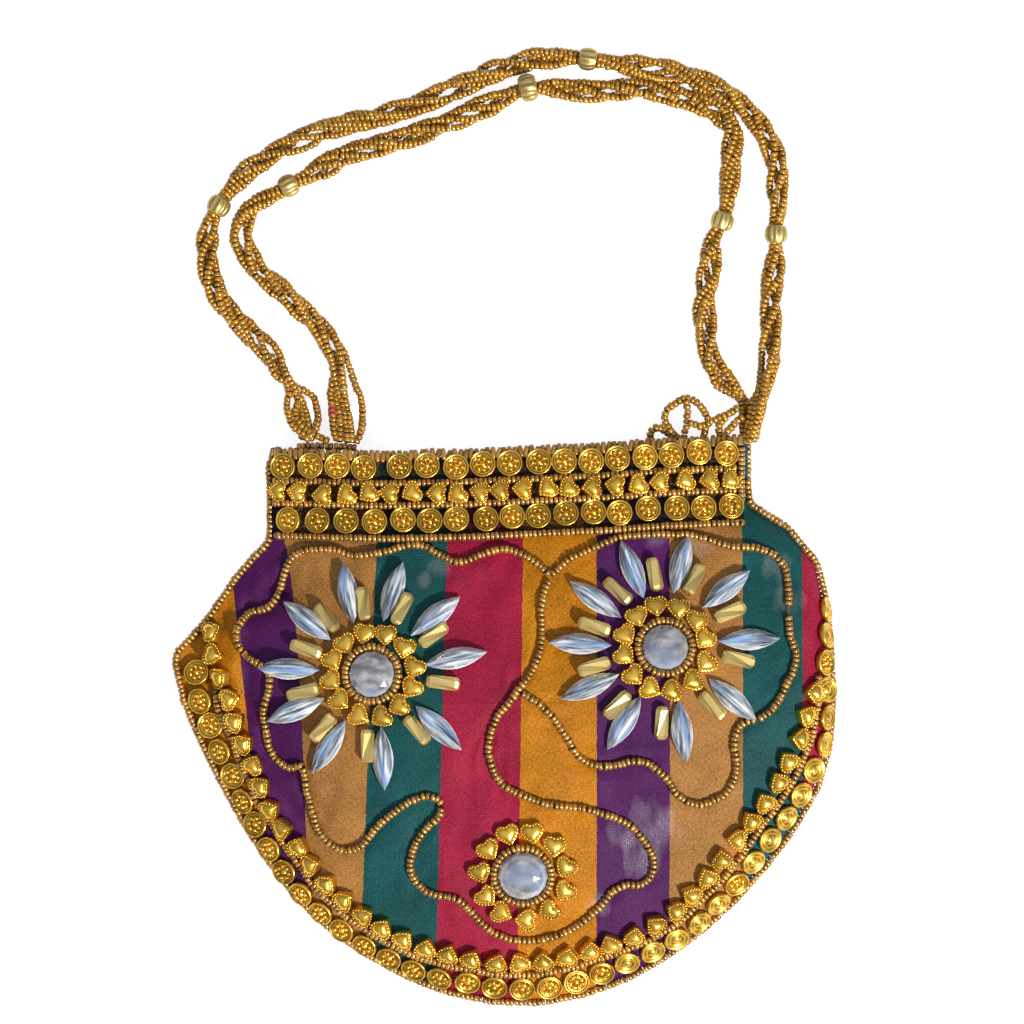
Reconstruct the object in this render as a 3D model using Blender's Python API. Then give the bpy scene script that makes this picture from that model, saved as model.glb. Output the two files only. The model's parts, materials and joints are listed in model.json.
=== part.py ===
"""A beaded potli bag, lying on its back: a puffed cloth pouch with a stiff bead band at the mouth,
two large crystal flowers and a small one, couched bead scrolls, a border of discs and hearts
round the rim, and two bead straps laid out beyond the mouth.
Metres, +Z up, the origin on the back of the pouch, on the plane that it lies on."""

import math

import bmesh
import bpy
from mathutils import Matrix, Vector
from mathutils.bvhtree import BVHTree

MM = 0.001
UP = Vector((0, 0, 1))

# Pouch
BAG_WIDTH = 198 * MM
BAG_LENGTH = 170 * MM
BAG_PUFF = 22 * MM
MOUTH_RISE = 7.5 * MM
MOUTH_REACH = 72 * MM
SEAM_HEIGHT = 5 * MM
CLOTH = 1.0 * MM
SEAM_GAP = 0.3 * MM
BACK_TURN_UP = 14 * MM

# The pattern is drawn at this size, and a smaller bag has smaller beads.
PATTERN_WIDTH = 198
PATTERN_LENGTH = 170
TRIM = min(BAG_WIDTH / PATTERN_WIDTH, BAG_LENGTH / PATTERN_LENGTH)

# Clearances
SEAT_GAP = 0.3 * MM
ROW_GAP = 0.15 * MM
RIM_ROW_GAP = 1.0 * TRIM
RIM_LIFT = 0.35 * MM
PATCH_REACH = 12 * MM

# Beads
SEED = 2.1 * TRIM
DISC = 7.8 * TRIM
DISC_HEIGHT = 1.5 * TRIM
BOSS_HEIGHT = 0.5 * TRIM
HEART_LENGTH = 5.6 * TRIM
HEART_WIDTH = 4.7 * TRIM
HEART_HEIGHT = 2.6 * TRIM
BAND_BACKING = 1.2 * TRIM
BAND_INSET = 1.5 * TRIM
LIP_OVERHANG = 1.1 * TRIM

# Flowers
STONE = 14 * TRIM
STONE_HEIGHT = 4.5 * TRIM
SMALL_STONE = 15 * TRIM
PETAL_LENGTH = 19 * TRIM
PETAL_WIDTH = 6.4 * TRIM
PETAL_HEIGHT = 3 * TRIM
TUBE_LENGTH = 10 * TRIM
TUBE = 3.8 * TRIM
SEWING_THREAD = 0.4 * MM
PETAL_LEAN = math.radians(-5.5)
LARGE_HEARTS = 12
SMALL_HEARTS = 11

# Straps
STRAP = 4.8 * TRIM
STRAP_BEAD = 7.0 * TRIM
SHARED_BEAD = 8.6 * TRIM
STRAP_BEAD_LENGTH = 5.2 * TRIM
STRAP_BEAD_GAP = 0.3 * MM
FLOOR_GAP = 0.15 * MM
STRAP_BEAD_LIP = 0.35 * MM

# How finely lines are drawn, and how far round the rim its rows run
ROW_STEP = 3.6 * SEED
SCROLL_STEP = 2.3 * SEED
LOOP_STEP = 2.2 * SEED
STRAP_STEP = 2.7 * STRAP
SECTION_STEP = 8 * MM
SECTION_POINT = 0.25 * MM
SECTION_POINTS = 120
SEED_SPAN = (0.02, 0.995)
BORDER_SPAN = (0.095, 0.955)
BAND_PANES = (18, 2)

# The pattern, in millimetres from the origin.
MIDDLE = (0, 5)
MOUTH = [(-69.6, 79.5), (-36, 78.5), (-11, 79), (4, 79.7), (30, 80.9), (50, 82.4), (74.4, 83.4)]
RIGHT_SIDE = [(74.4, 83.4), (74.6, 64.5)]
RIM = [
    (74.6, 64.5), (84, 58.8), (92, 51), (96.4, 41), (98.4, 22), (99, 3), (96.5, -15),
    (88, -31.5), (72, -51.5), (52, -69), (30, -80.4), (6, -84.8), (-18, -80.6), (-38, -71.2),
    (-57.3, -57), (-72, -38.5), (-85, -16.5), (-95, 4.5), (-98.7, 19.2),
]
LEFT_SHOULDER = [(-98.7, 19.2), (-90, 28.5), (-81, 41), (-69.6, 54.5)]
LEFT_SIDE = [(-69.6, 54.5), (-69.6, 79.5)]
RUN_STEPS = ((MOUTH, 10), (RIGHT_SIDE, 2), (RIM, 27), (LEFT_SHOULDER, 3), (LEFT_SIDE, 2))

# How full the cloth stands at its edge, by direction from the middle: small is a steep wall.
EDGE_SHAPE = [
    (-180, 1.0), (-150, 0.8), (-120, 0.72), (-90, 0.68), (-60, 0.6), (-30, 0.42), (0, 0.3),
    (30, 0.33), (48, 0.4), (90, 0.4), (130, 0.45), (152, 0.9), (170, 1.25), (180, 1.0),
]
FRONT_RINGS = (1, 0.99, 0.96, 0.88, 0.72, 0.42)
BACK_RINGS = (1, 0.93, 0.86)
STRIPES = (-76.2, -59.4, -38.4, -17.7, 5.7, 28.4, 50.1, 72.2, 90.3)
STRIPE_COLOURS = ("mustard", "purple", "tan", "teal", "crimson")

LEFT_FLOWER = (-37.8, 13.8)
LEFT_PETALS = (10, 46, 79, 112, 144, 178, 209, 243, 282, 325)
LEFT_TUBES = (29, 64, 97, 129, 162, 195, 227, 264, 305, 350)
RIGHT_FLOWER = (49.2, 21.6)
RIGHT_PETALS = (7, 46, 82, 115, 148, 179, 211, 245, 286, 327)
RIGHT_TUBES = (28, 66, 99, 131, 163, 195, 229, 267, 309, 350)
SMALL_FLOWER = (6.9, -45.75)

UPPER_SCROLL = [
    (11.2, 46.0), (6.5, 49.5), (0.9, 51), (-6, 49.2), (-12.6, 47.1), (-18, 49.5), (-23.1, 52.2),
    (-28.5, 52), (-35.4, 50.1), (-42.9, 49.2), (-49, 51), (-56.1, 51), (-61.2, 49.5),
    (-64.5, 44.5), (-66.3, 37.8), (-69.4, 33.6), (-75, 32), (-78.4, 28), (-78.6, 22),
    (-75, 18.4), (-70.2, 15), (-68.6, 10.5), (-70.4, 5.2), (-70.4, 0), (-69.2, -6.6),
    (-66.4, -12), (-62.2, -14.2), (-59, -13.4), (-57.8, -17.5), (-56.6, -24.5), (-54, -32.4),
    (-50.4, -36.9), (-46.2, -39), (-41.4, -37.5), (-36, -31.5), (-28.8, -25.3), (-23.4, -22.6),
    (-19, -22.4),
]
LOWER_SCROLL = [
    (-17.4, -25.6), (-19.2, -29.7), (-22.8, -33.3), (-26.1, -39), (-26.7, -44.4), (-24, -49.2),
    (-19.2, -52), (-13, -53), (-9, -56.6), (-5.4, -60.6), (0, -64.2), (6.9, -65.7),
    (15.3, -64.8), (22.8, -61.2), (30, -55.5), (33.6, -50.8), (37.6, -49), (42, -48.9),
    (45.3, -45.9), (45.9, -40.8), (42.6, -34.8), (36.6, -29.7), (25.8, -26.4), (13.5, -24.6),
    (6, -21.9), (-0.3, -17.7), (-3, -11.1), (-3.4, -6), (-1, 0.6), (3.6, 6.6), (9, 13.8),
    (12, 20.4), (12.4, 27.9), (12.4, 35.1), (14.4, 41.6),
]
RIGHT_SCROLL = [
    (16.6, 44.4), (21.6, 48.6), (30, 52.4), (37, 54.9), (43, 55.2), (49.8, 55.6), (57, 55.3),
    (62.1, 54), (69.3, 51.6), (75, 51.6), (79.8, 50.4), (81.6, 46.8), (81.8, 41.5),
    (81.2, 35), (82.6, 27), (84.8, 19.5), (85.4, 14.1), (84.4, 9.2), (81.8, 5.6),
]
INNER_SCROLL = [
    (73.6, 0), (71.4, -3), (70.8, -7.5), (71, -12.6), (69.8, -18), (66.6, -22.2), (60.9, -24.9),
    (56.4, -24.6), (52.5, -21.6), (49.5, -17.1), (45.6, -13.5), (40.8, -12), (34.5, -13),
    (28.2, -13.2), (23.6, -10.5), (19.2, -4), (15.4, 1.5), (11.6, 4.8),
]

# The straps' routes, chosen by hand: x, y and height of the middle of the bundle.
STRAP_A = [
    (-60, 82.6, 10.4), (-60.3, 87.2, 8.8), (-61.2, 91.5, 6.2), (-63.6, 100.5, 3.6),
    (-71.4, 112.5, 2.6), (-82.5, 123.6, 2.6), (-87.6, 135, 2.6), (-87.9, 145.5, 2.6),
    (-84.6, 154.5, 2.6), (-76.5, 164.4, 2.6), (-67.5, 171, 2.6), (-58.5, 174.9, 2.6),
    (-48, 178.5, 2.6), (-33, 182.7, 2.6), (-18, 187.5, 2.6), (-5.5, 193.6, 2.6),
    (5, 197.4, 2.6), (15, 199, 2.6), (26.4, 198.6, 2.6), (42, 196.2, 2.6), (57, 193.5, 2.6),
    (70.5, 186.9, 2.6), (79.5, 177, 2.6), (83.4, 166.5, 2.6), (83.4, 157.2, 2.6),
    (83.1, 146.1, 2.6), (82.8, 137.7, 2.6), (81.9, 127.8, 2.7), (81, 118.2, 3.4),
    (79, 108.3, 5.4), (76, 100.5, 8), (73.8, 93.6, 9.4), (72, 86.5, 9.4),
]
STRAP_B = [
    (-44.4, 81.7, 12), (-44.4, 87, 10.2), (-44.4, 93, 7.4), (-46.5, 103.5, 3.8),
    (-52.5, 115.5, 2.6), (-63, 126, 2.6), (-73.5, 136.5, 2.6), (-78, 145.5, 2.6),
    (-75, 153, 2.6), (-69, 157.5, 2.6), (-63.6, 160.5, 2.6), (-54, 165.6, 2.6),
    (-43.5, 170.4, 2.6), (-30, 174.6, 2.6), (-15, 179.4, 2.6), (-3, 185.1, 2.6),
    (8.4, 190, 2.6), (18, 189.6, 2.6), (30, 189, 2.6), (45, 189.4, 2.6), (56, 186.6, 2.6),
    (66.3, 181.8, 2.6), (70.2, 176.7, 2.6), (69.3, 167.1, 2.6), (68.7, 157.2, 2.6),
    (66.9, 150, 2.6), (64.2, 143.4, 2.6), (62.4, 132.6, 2.6), (61.5, 123, 2.6),
    (62.4, 114, 2.6), (66, 107, 2.6), (70, 100.6, 2.6), (74.6, 94.6, 3), (75, 87.6, 4.1),
]
CLOSING_LOOP = [
    (53.1, 85.2, 9.5), (51, 89, 9.5), (50, 91, 9.3), (50.2, 94.4, 8.8), (53, 96.4, 8.6),
    (56, 94.8, 8.8), (56.6, 91, 9.3), (56.2, 88.6, 9.5), (56.2, 85.5, 9.5),
]
CLOSING_STRAND = [
    (58.2, 95.6, 8.6), (60.6, 95.2, 8.8), (61.9, 92.6, 9.2), (62.8, 89.6, 9.5),
    (64.8, 89, 9.4), (67.6, 91.2, 9.4), (70.2, 92.8, 9.3),
]
# The route points that carry the beads; the last of strap B's is the bead that gathers both straps.
STRAP_A_BEADS = (8, 18, 25)
STRAP_B_BEADS = (10, 25, 16)

COLOURS = {
    "mustard": (0.66, 0.29, 0.01), "purple": (0.07, 0.012, 0.11), "tan": (0.55, 0.29, 0.09),
    "teal": (0.003, 0.13, 0.14), "crimson": (0.43, 0.013, 0.08), "bronze": (0.38, 0.17, 0.04),
    "gold": (0.52, 0.28, 0.01), "satin gold": (0.51, 0.38, 0.09), "crystal": (0.85, 0.89, 0.93),
    "thread": (0.09, 0.04, 0.02), "backing": (0.05, 0.01, 0.03),
}


def clear_scene():
    for obj in list(bpy.data.objects):
        bpy.data.objects.remove(obj, do_unlink=True)


def material(name, metallic=0.0, roughness=0.6):
    found = bpy.data.materials.get(name)
    if found:
        return found
    made = bpy.data.materials.new(name)
    made.use_nodes = True
    shader = made.node_tree.nodes["Principled BSDF"]
    shader.inputs["Base Color"].default_value = (*COLOURS[name], 1)
    shader.inputs["Metallic"].default_value = metallic
    shader.inputs["Roughness"].default_value = roughness
    made.diffuse_color = (*COLOURS[name], 1)
    return made


def add_mesh(name, bm, *materials):
    mesh = bpy.data.meshes.new(name)
    bm.to_mesh(mesh)
    bm.free()
    for each in materials:
        mesh.materials.append(each)
    obj = bpy.data.objects.new(name, mesh)
    bpy.context.scene.collection.objects.link(obj)
    return obj


def laid(x, y):
    """A point of the drawn pattern, on the bag."""
    return Vector((x * BAG_WIDTH / PATTERN_WIDTH, y * BAG_LENGTH / PATTERN_LENGTH, 0))


def smoothstep(t):
    t = min(max(t, 0.0), 1.0)
    return t * t * (3 - 2 * t)


def spline(points, step):
    """Points along the smooth curve through these ones, evenly spaced by about one step."""
    ends = [points[0] * 2 - points[1], *points, points[-1] * 2 - points[-2]]
    fine = [points[0]]
    for a, b, c, d in zip(ends, ends[1:], ends[2:], ends[3:]):
        for k in range(1, 13):
            t = k / 12
            fine.append(
                0.5 * (2 * b + (c - a) * t + (2 * a - 5 * b + 4 * c - d) * t * t
                       + (3 * b - a - 3 * c + d) * t ** 3)
            )
    return evenly(fine, step)


def evenly(line, step):
    lengths = [0.0]
    for a, b in zip(line, line[1:]):
        lengths.append(lengths[-1] + (b - a).length)
    count = max(1, round(lengths[-1] / step))
    return [at_length(line, lengths, lengths[-1] * k / count) for k in range(count + 1)]


def at_length(line, lengths, wanted):
    for k in range(1, len(line)):
        if lengths[k] >= wanted:
            span = lengths[k] - lengths[k - 1]
            return line[k - 1].lerp(line[k], (wanted - lengths[k - 1]) / span if span else 0)
    return line[-1].copy()


def run_points(run, steps):
    points = [laid(*p) for p in run]
    total = sum((b - a).length for a, b in zip(points, points[1:]))
    if len(points) == 2:
        return evenly(points, total / steps)
    return spline(points, total / steps)


def outline():
    """The pouch's outline in plan, clockwise from the mouth's left end."""
    loop = []
    for run, steps in RUN_STEPS:
        loop += run_points(run, steps)[:-1]
    return loop


OUTLINE = outline()
CENTRE = laid(*MIDDLE)
MOUTH_SIDE_FOOT = laid(*RIGHT_SIDE[1]).y - SEAT_GAP


def edge_distance(direction):
    """How far the outline lies from the middle, the mouth left open so that its sides run on."""
    far = CENTRE + direction * BAG_LENGTH * 2
    widest = 0.0
    for a, b in zip(OUTLINE, OUTLINE[1:] + OUTLINE[:1]):
        if min(a.y, b.y) > MOUTH_SIDE_FOOT:
            continue
        hit = crossing(CENTRE, far, a, b)
        if hit is not None:
            widest = max(widest, hit)
    for x in (laid(*LEFT_SIDE[0]).x, laid(*RIGHT_SIDE[1]).x):
        if direction.x * x > 0:
            along = (x - CENTRE.x) / direction.x
            if (CENTRE + direction * along).y > laid(*LEFT_SIDE[0]).y:
                widest = max(widest, min(along, BAG_LENGTH))
    return widest or BAG_LENGTH


def crossing(p, q, a, b):
    r = q - p
    s = b - a
    cross = r.x * s.y - r.y * s.x
    if abs(cross) < 1e-12:
        return None
    t = ((a.x - p.x) * s.y - (a.y - p.y) * s.x) / cross
    u = ((a.x - p.x) * r.y - (a.y - p.y) * r.x) / cross
    return t * r.length if t > 0 and -1e-6 <= u <= 1 + 1e-6 else None


def edge_shape(angle):
    degrees = math.degrees(angle)
    for (a, low), (b, high) in zip(EDGE_SHAPE, EDGE_SHAPE[1:]):
        if a <= degrees <= b:
            return low + (high - low) * smoothstep((degrees - a) / (b - a))
    return EDGE_SHAPE[0][1]


def reach_share(x, y):
    """0 at the middle of the pouch and 1 at its edge."""
    arm = Vector((x, y, 0)) - CENTRE
    if arm.length < MM:
        return 0.0, 0.0
    angle = math.atan2(arm.y, arm.x)
    return min(arm.length / edge_distance(arm.normalized()), 1.0), angle


def mouth_line(x):
    """How far up the lip of the mouth lies at this width."""
    points = [laid(*p) for p in MOUTH]
    for a, b in zip(points, points[1:]):
        if x <= b.x or b is points[-1]:
            return a.y + (b.y - a.y) * (x - a.x) / (b.x - a.x)
    return points[-1].y


def front_height(x, y):
    """The outer face of the front cloth."""
    share, angle = reach_share(x, y)
    puffed = (1 - share ** 2) ** edge_shape(angle)
    in_from_mouth = smoothstep((mouth_line(x) - y) / MOUTH_REACH)
    rise = MOUTH_RISE + (BAG_PUFF - MOUTH_RISE) * in_from_mouth
    return SEAM_HEIGHT + CLOTH + SEAM_GAP / 2 + rise * puffed


def back_height(x, y):
    """The outer face of the back cloth: flat, turned up at the seam, lifted over the band."""
    share, _ = reach_share(x, y)
    arm = (Vector((x, y, 0)) - CENTRE).length
    from_edge = arm / share - arm if share else BAG_WIDTH
    turn = max(0.0, 1 - from_edge / BACK_TURN_UP) ** 2
    lift = BAND_BACKING + 2 * SEAT_GAP if y > BAND_FOOT - SEAT_GAP else 0.0
    return lift + (SEAM_HEIGHT - CLOTH - SEAM_GAP / 2 - lift) * turn


# Rows of beads, stacked from the lip of the mouth down and from the seam inwards.
HALF_DISC = DISC / 2 * math.cos(math.pi / 8)
DISC_ROW_TOP = HALF_DISC - LIP_OVERHANG
SEED_ROW_UPPER = DISC_ROW_TOP + HALF_DISC + ROW_GAP + SEED / 2
HEART_ROW = SEED_ROW_UPPER + SEED / 2 + ROW_GAP + HEART_WIDTH / 2
SEED_ROW_LOWER = HEART_ROW + HEART_WIDTH / 2 + ROW_GAP + SEED / 2
DISC_ROW_BOTTOM = SEED_ROW_LOWER + SEED / 2 + ROW_GAP + HALF_DISC
SEED_ROW_BOTTOM = DISC_ROW_BOTTOM + HALF_DISC + ROW_GAP + SEED / 2
BAND_DEPTH = SEED_ROW_BOTTOM + SEED / 2
BAND_FOOT = min(laid(*p).y for p in MOUTH) - BAND_DEPTH - SEAT_GAP
FOLD_TO_BAND = 6 * TRIM
RIM_SEED_OUTER = 1.1 * TRIM
RIM_DISC = RIM_SEED_OUTER + SEED / 2 + RIM_ROW_GAP + HALF_DISC
RIM_SEED_INNER = RIM_DISC + HALF_DISC + RIM_ROW_GAP + SEED / 2
RIM_HEART = RIM_SEED_INNER + SEED / 2 + RIM_ROW_GAP + HEART_WIDTH / 2


def ring_sheet(rings):
    """The pouch's outline and its rings, flat in plan and facing up."""
    bm = bmesh.new()
    loops = []
    for share in rings:
        loops.append([bm.verts.new(CENTRE.lerp(p, share)) for p in OUTLINE])
    count = len(OUTLINE)
    for outer, inner in zip(loops, loops[1:]):
        for k in range(count):
            n = (k + 1) % count
            bm.faces.new((outer[n], outer[k], inner[k], inner[n]))
    middle = bm.verts.new(CENTRE)
    for k in range(count):
        bm.faces.new((loops[-1][(k + 1) % count], loops[-1][k], middle))
    return bm


def cut(bm, point, normal):
    everything = bm.verts[:] + bm.edges[:] + bm.faces[:]
    bmesh.ops.bisect_plane(bm, geom=everything, plane_co=point, plane_no=normal, dist=1e-6)


def striped_panel(name, rings, height, down):
    """One side of the pouch: cloth cut to the outline, striped and puffed."""
    bm = ring_sheet(rings)
    for x in STRIPES:
        cut(bm, laid(x, 0), (1, 0, 0))
    if down:
        for foot in (BAND_FOOT - FOLD_TO_BAND, BAND_FOOT):
            cut(bm, (0, foot, 0), (0, 1, 0))
    for face in bm.faces:
        middle = face.calc_center_median().x
        face.material_index = sum(middle > laid(x, 0).x for x in STRIPES) % len(STRIPE_COLOURS)
        face.smooth = True
    for vert in bm.verts:
        vert.co.z = height(vert.co.x, vert.co.y)
    if down:
        bmesh.ops.reverse_faces(bm, faces=bm.faces)
    obj = add_mesh(name, bm, *[material(c, roughness=0.7) for c in STRIPE_COLOURS])
    wall = obj.modifiers.new("Cloth", "SOLIDIFY")
    wall.thickness = CLOTH
    wall.offset = -1
    return obj


def band(name, height, panel, down):
    """The stiff strip round the mouth, on the outer face of the cloth."""
    left = laid(*MOUTH[0]).x + BAND_INSET
    right = laid(*MOUTH[-1]).x - BAND_INSET
    bm = bmesh.new()
    bmesh.ops.create_grid(bm, x_segments=BAND_PANES[0], y_segments=BAND_PANES[1], size=1)
    for vert in bm.verts:
        x = left + (right - left) * (vert.co.x + 1) / 2
        y = mouth_line(x) - ROW_GAP - (BAND_DEPTH - ROW_GAP) * (1 - vert.co.y) / 2
        vert.co = (x, y, height(x, y))
    off = clearance(bm, panel, -UP if down else UP)
    bmesh.ops.translate(bm, vec=(-UP if down else UP) * off, verts=bm.verts)
    if down:
        bmesh.ops.reverse_faces(bm, faces=bm.faces)
    obj = add_mesh(name, bm, material("backing", roughness=0.8))
    wall = obj.modifiers.new("Backing", "SOLIDIFY")
    wall.thickness = BAND_BACKING
    wall.offset = 1
    return obj


def surface_of(obj):
    """The faces of this piece, to seat others on."""
    mesh = obj.evaluated_get(bpy.context.evaluated_depsgraph_get()).to_mesh()
    return BVHTree.FromPolygons([v.co for v in mesh.vertices], [f.vertices for f in mesh.polygons])


def clearance(bm, surface, way):
    """How far a sheet moves this way to clear the surface by the seat gap."""
    sheet = BVHTree.FromBMesh(bm)
    deepest = 0.0
    for face in bm.faces:
        corners = [v.co for v in face.verts]
        middle = face.calc_center_median()
        for share in (0.02, 0.25, 0.5, 0.75):
            for corner, following in zip(corners, corners[1:] + corners[:1]):
                spot = corner.lerp(following, share).lerp(middle, share / 2 + 0.01)
                start = spot + way * BAG_WIDTH
                cloth, _, _, cloth_away = surface.ray_cast(start, -way)
                own, _, _, own_away = sheet.ray_cast(start, -way)
                if cloth and own:
                    deepest = max(deepest, own_away - cloth_away)
    return deepest + SEAT_GAP


def drop(surface, x, y):
    """The point of the surface below this place."""
    hit, _, _, _ = surface.ray_cast(Vector((x, y, BAG_WIDTH)), -UP)
    return hit


def slope_normal(surface, point, spread):
    """The surface's lie over a small footprint."""
    heights = []
    for dx, dy in ((spread, 0), (-spread, 0), (0, spread), (0, -spread)):
        hit = drop(surface, point.x + dx, point.y + dy)
        heights.append(hit.z if hit else point.z)
    along_x = (heights[0] - heights[1]) / (2 * spread)
    along_y = (heights[2] - heights[3]) / (2 * spread)
    return Vector((-along_x, -along_y, 1)).normalized()


def frame(point, along, normal):
    """A place with its X along a row and its Z off the surface."""
    side = normal.cross(along).normalized()
    forward = side.cross(normal).normalized()
    turn = Matrix((forward, side, normal)).transposed().to_4x4()
    return Matrix.Translation(point) @ turn


def seated(surface, place, half_length, half_width, gap=SEAT_GAP):
    """Lifts a place until a base of this size clears the surface by the gap."""
    normal = place.col[2].to_3d()
    highest = 0.0
    for u in (-1, -0.5, 0, 0.5, 1):
        for v in (-1, -0.5, 0, 0.5, 1):
            if abs(u) == 1 and abs(v) == 1:
                continue
            base = place @ Vector((u * half_length, v * half_width, 0))
            hit, _, _, away = surface.ray_cast(base + normal * PATCH_REACH, -normal, 2 * PATCH_REACH)
            if hit:
                highest = max(highest, PATCH_REACH - away)
    return Matrix.Translation(normal * (highest + gap)) @ place


def disc_shape(bm):
    """A pressed disc: a flat round with a boss in the middle."""
    made = bmesh.ops.create_cone(
        bm, cap_ends=True, segments=8, radius1=DISC / 2, radius2=DISC / 2, depth=DISC_HEIGHT,
        matrix=Matrix.Translation((0, 0, DISC_HEIGHT / 2)) @ Matrix.Rotation(math.pi / 8, 4, "Z"),
    )
    verts = made["verts"]
    top = max({f for v in verts for f in v.link_faces}, key=lambda f: f.calc_center_median().z)
    inner = bmesh.ops.inset_region(bm, faces=[top], thickness=DISC * 0.2)
    for vert in top.verts:
        vert.co.z += BOSS_HEIGHT
    return {v for f in inner["faces"] for v in f.verts} | set(verts) | set(top.verts)


HEART_OUTLINE = (
    (0.5, -0.08), (0.5, 0.08), (0, 0.5), (-0.46, 0.32),
    (-0.34, 0.08), (-0.34, -0.08), (-0.46, -0.32), (0, -0.5),
)
PETAL_OUTLINE = (
    (0.5, 0), (0.27, 0.36), (0, 0.5), (-0.27, 0.36),
    (-0.5, 0), (-0.27, -0.36), (0, -0.5), (0.27, -0.36),
)


def domed_shape(bm, shape, length, width, levels):
    """An outline carried up through levels of height and size, closed at both ends."""
    loops = []
    for height, size in levels:
        loops.append(
            [bm.verts.new((x * length * size, y * width * size, height)) for x, y in shape]
        )
    bm.faces.new(reversed(loops[0]))
    for low, high in zip(loops, loops[1:]):
        for k in range(len(shape)):
            n = (k + 1) % len(shape)
            bm.faces.new((low[k], low[n], high[n], high[k]))
    bm.faces.new(loops[-1])
    return {v for loop in loops for v in loop}


def heart_shape(bm):
    levels = ((0, 1), (HEART_HEIGHT, 0.7))
    return domed_shape(bm, HEART_OUTLINE, HEART_LENGTH, HEART_WIDTH, levels)


def thread_row(bm, beads, closed):
    """Joins each bead to the next by the thread that runs through them."""
    centres = [sum((v.co for v in bead), Vector()) / len(bead) for bead in beads]
    count = len(beads)
    for k in range(count if closed else count - 1):
        n = (k + 1) % count
        way = (centres[n] - centres[k]).normalized()
        near = facing(beads[k], way)
        far = facing(beads[n], -way)
        edges = list(near.edges) + list(far.edges)
        bmesh.ops.delete(bm, geom=[near, far], context="FACES_ONLY")
        bmesh.ops.bridge_loops(bm, edges=edges)


def facing(bead, way):
    """The bead's upright side face that looks this way."""
    own = {f for v in bead if v.is_valid for f in v.link_faces if len(f.verts) == 4}
    own = [f for f in own if all(v in bead for v in f.verts)]
    return max(own, key=lambda f: f.normal.dot(way))


def bead_row(name, places, shape, colour, closed=False):
    bm = bmesh.new()
    beads = []
    for place in places:
        verts = shape(bm)
        bmesh.ops.transform(bm, matrix=place, verts=list(verts))
        beads.append(verts)
    bm.normal_update()
    thread_row(bm, beads, closed)
    bmesh.ops.recalc_face_normals(bm, faces=bm.faces)
    return add_mesh(name, bm, material(colour, metallic=1, roughness=0.35))


def tube(name, points, diameter, colour, sides=6, metallic=0.6):
    """A strung line as a tube through these points, closed at its ends."""
    curve = bpy.data.curves.new(name, "CURVE")
    curve.dimensions = "3D"
    curve.bevel_depth = diameter / 2
    curve.bevel_resolution = (sides - 4) // 2
    curve.use_fill_caps = True
    line = curve.splines.new("POLY")
    line.points.add(len(points) - 1)
    for point, place in zip(line.points, points):
        point.co = (*place, 1)
    obj = bpy.data.objects.new(name, curve)
    curve.materials.append(material(colour, metallic=metallic, roughness=0.4))
    bpy.context.scene.collection.objects.link(obj)
    return obj


def lying_line(surface, plan, radius):
    """A strung line laid on the surface along these places."""
    line = []
    for place in plan:
        point = drop(surface, place.x, place.y)
        normal = slope_normal(surface, point, radius)
        lifted = seated(surface, frame(point, Vector((1, 0, 0)), normal), 2 * radius, 2 * radius)
        line.append(lifted.translation + normal * radius)
    return line


def scroll(name, surface, drawn):
    plan = spline([laid(*p) for p in drawn], SCROLL_STEP)
    tube(name, lying_line(surface, plan, SEED / 2), SEED, "bronze")


def band_line(depth, trim):
    """Places along the band, this far below the lip, kept this far inside its ends."""
    left = laid(*MOUTH[0]).x + BAND_INSET + trim
    right = laid(*MOUTH[-1]).x - BAND_INSET - trim
    count = 40
    line = []
    for k in range(count + 1):
        x = left + (right - left) * k / count
        line.append(Vector((x, mouth_line(x) - depth, 0)))
    return line


def bead_places(surface, plan, pitch, half_length, half_width, turned=False):
    """Evenly spaced seats along a line in plan, on the surface."""
    solid = [drop(surface, p.x, p.y) for p in plan]
    length = sum((b - a).length for a, b in zip(solid, solid[1:]))
    stops = evenly(solid, length / max(1, int(length / pitch)))
    places = []
    for k, stop in enumerate(stops):
        before = stops[max(k - 1, 0)]
        after = stops[min(k + 1, len(stops) - 1)]
        along = (before - after) if turned else (after - before)
        point = drop(surface, stop.x, stop.y)
        normal = slope_normal(surface, point, half_width / 2)
        place = frame(point, along, normal)
        places.append(seated(surface, place, half_length, half_width))
    return places


def rim_sections(surface, span):
    """Lines up the cloth from the seam, one for each step along the rim."""
    rim = run_points(RIM, 60)
    lengths = [0.0]
    for a, b in zip(rim, rim[1:]):
        lengths.append(lengths[-1] + (b - a).length)
    start, end = span
    count = round((end - start) * lengths[-1] / SECTION_STEP)
    sections = []
    for k in range(count + 1):
        wanted = lengths[-1] * (start + (end - start) * k / count)
        point = at_length(rim, lengths, wanted)
        ahead = at_length(rim, lengths, min(wanted + SECTION_STEP, lengths[-1]))
        behind = at_length(rim, lengths, max(wanted - SECTION_STEP, 0))
        way = (ahead - behind).normalized()
        inward = Vector((way.y, -way.x, 0))
        if inward.dot(CENTRE - point) < 0:
            inward = -inward
        line = []
        for n in range(SECTION_POINTS):
            hit = drop(surface, *(point + inward * SECTION_POINT * (n + 0.2)).xy)
            if hit:
                line.append(hit)
        sections.append(line)
    return sections


def up_section(line, distance, spread):
    """A point this far up a section, with the section's lie there."""
    lengths = [0.0]
    for a, b in zip(line, line[1:]):
        lengths.append(lengths[-1] + (b - a).length)
    point = at_length(line, lengths, distance)
    low = at_length(line, lengths, max(distance - spread, 0))
    high = at_length(line, lengths, distance + spread)
    return point, (high - low).normalized()


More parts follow.
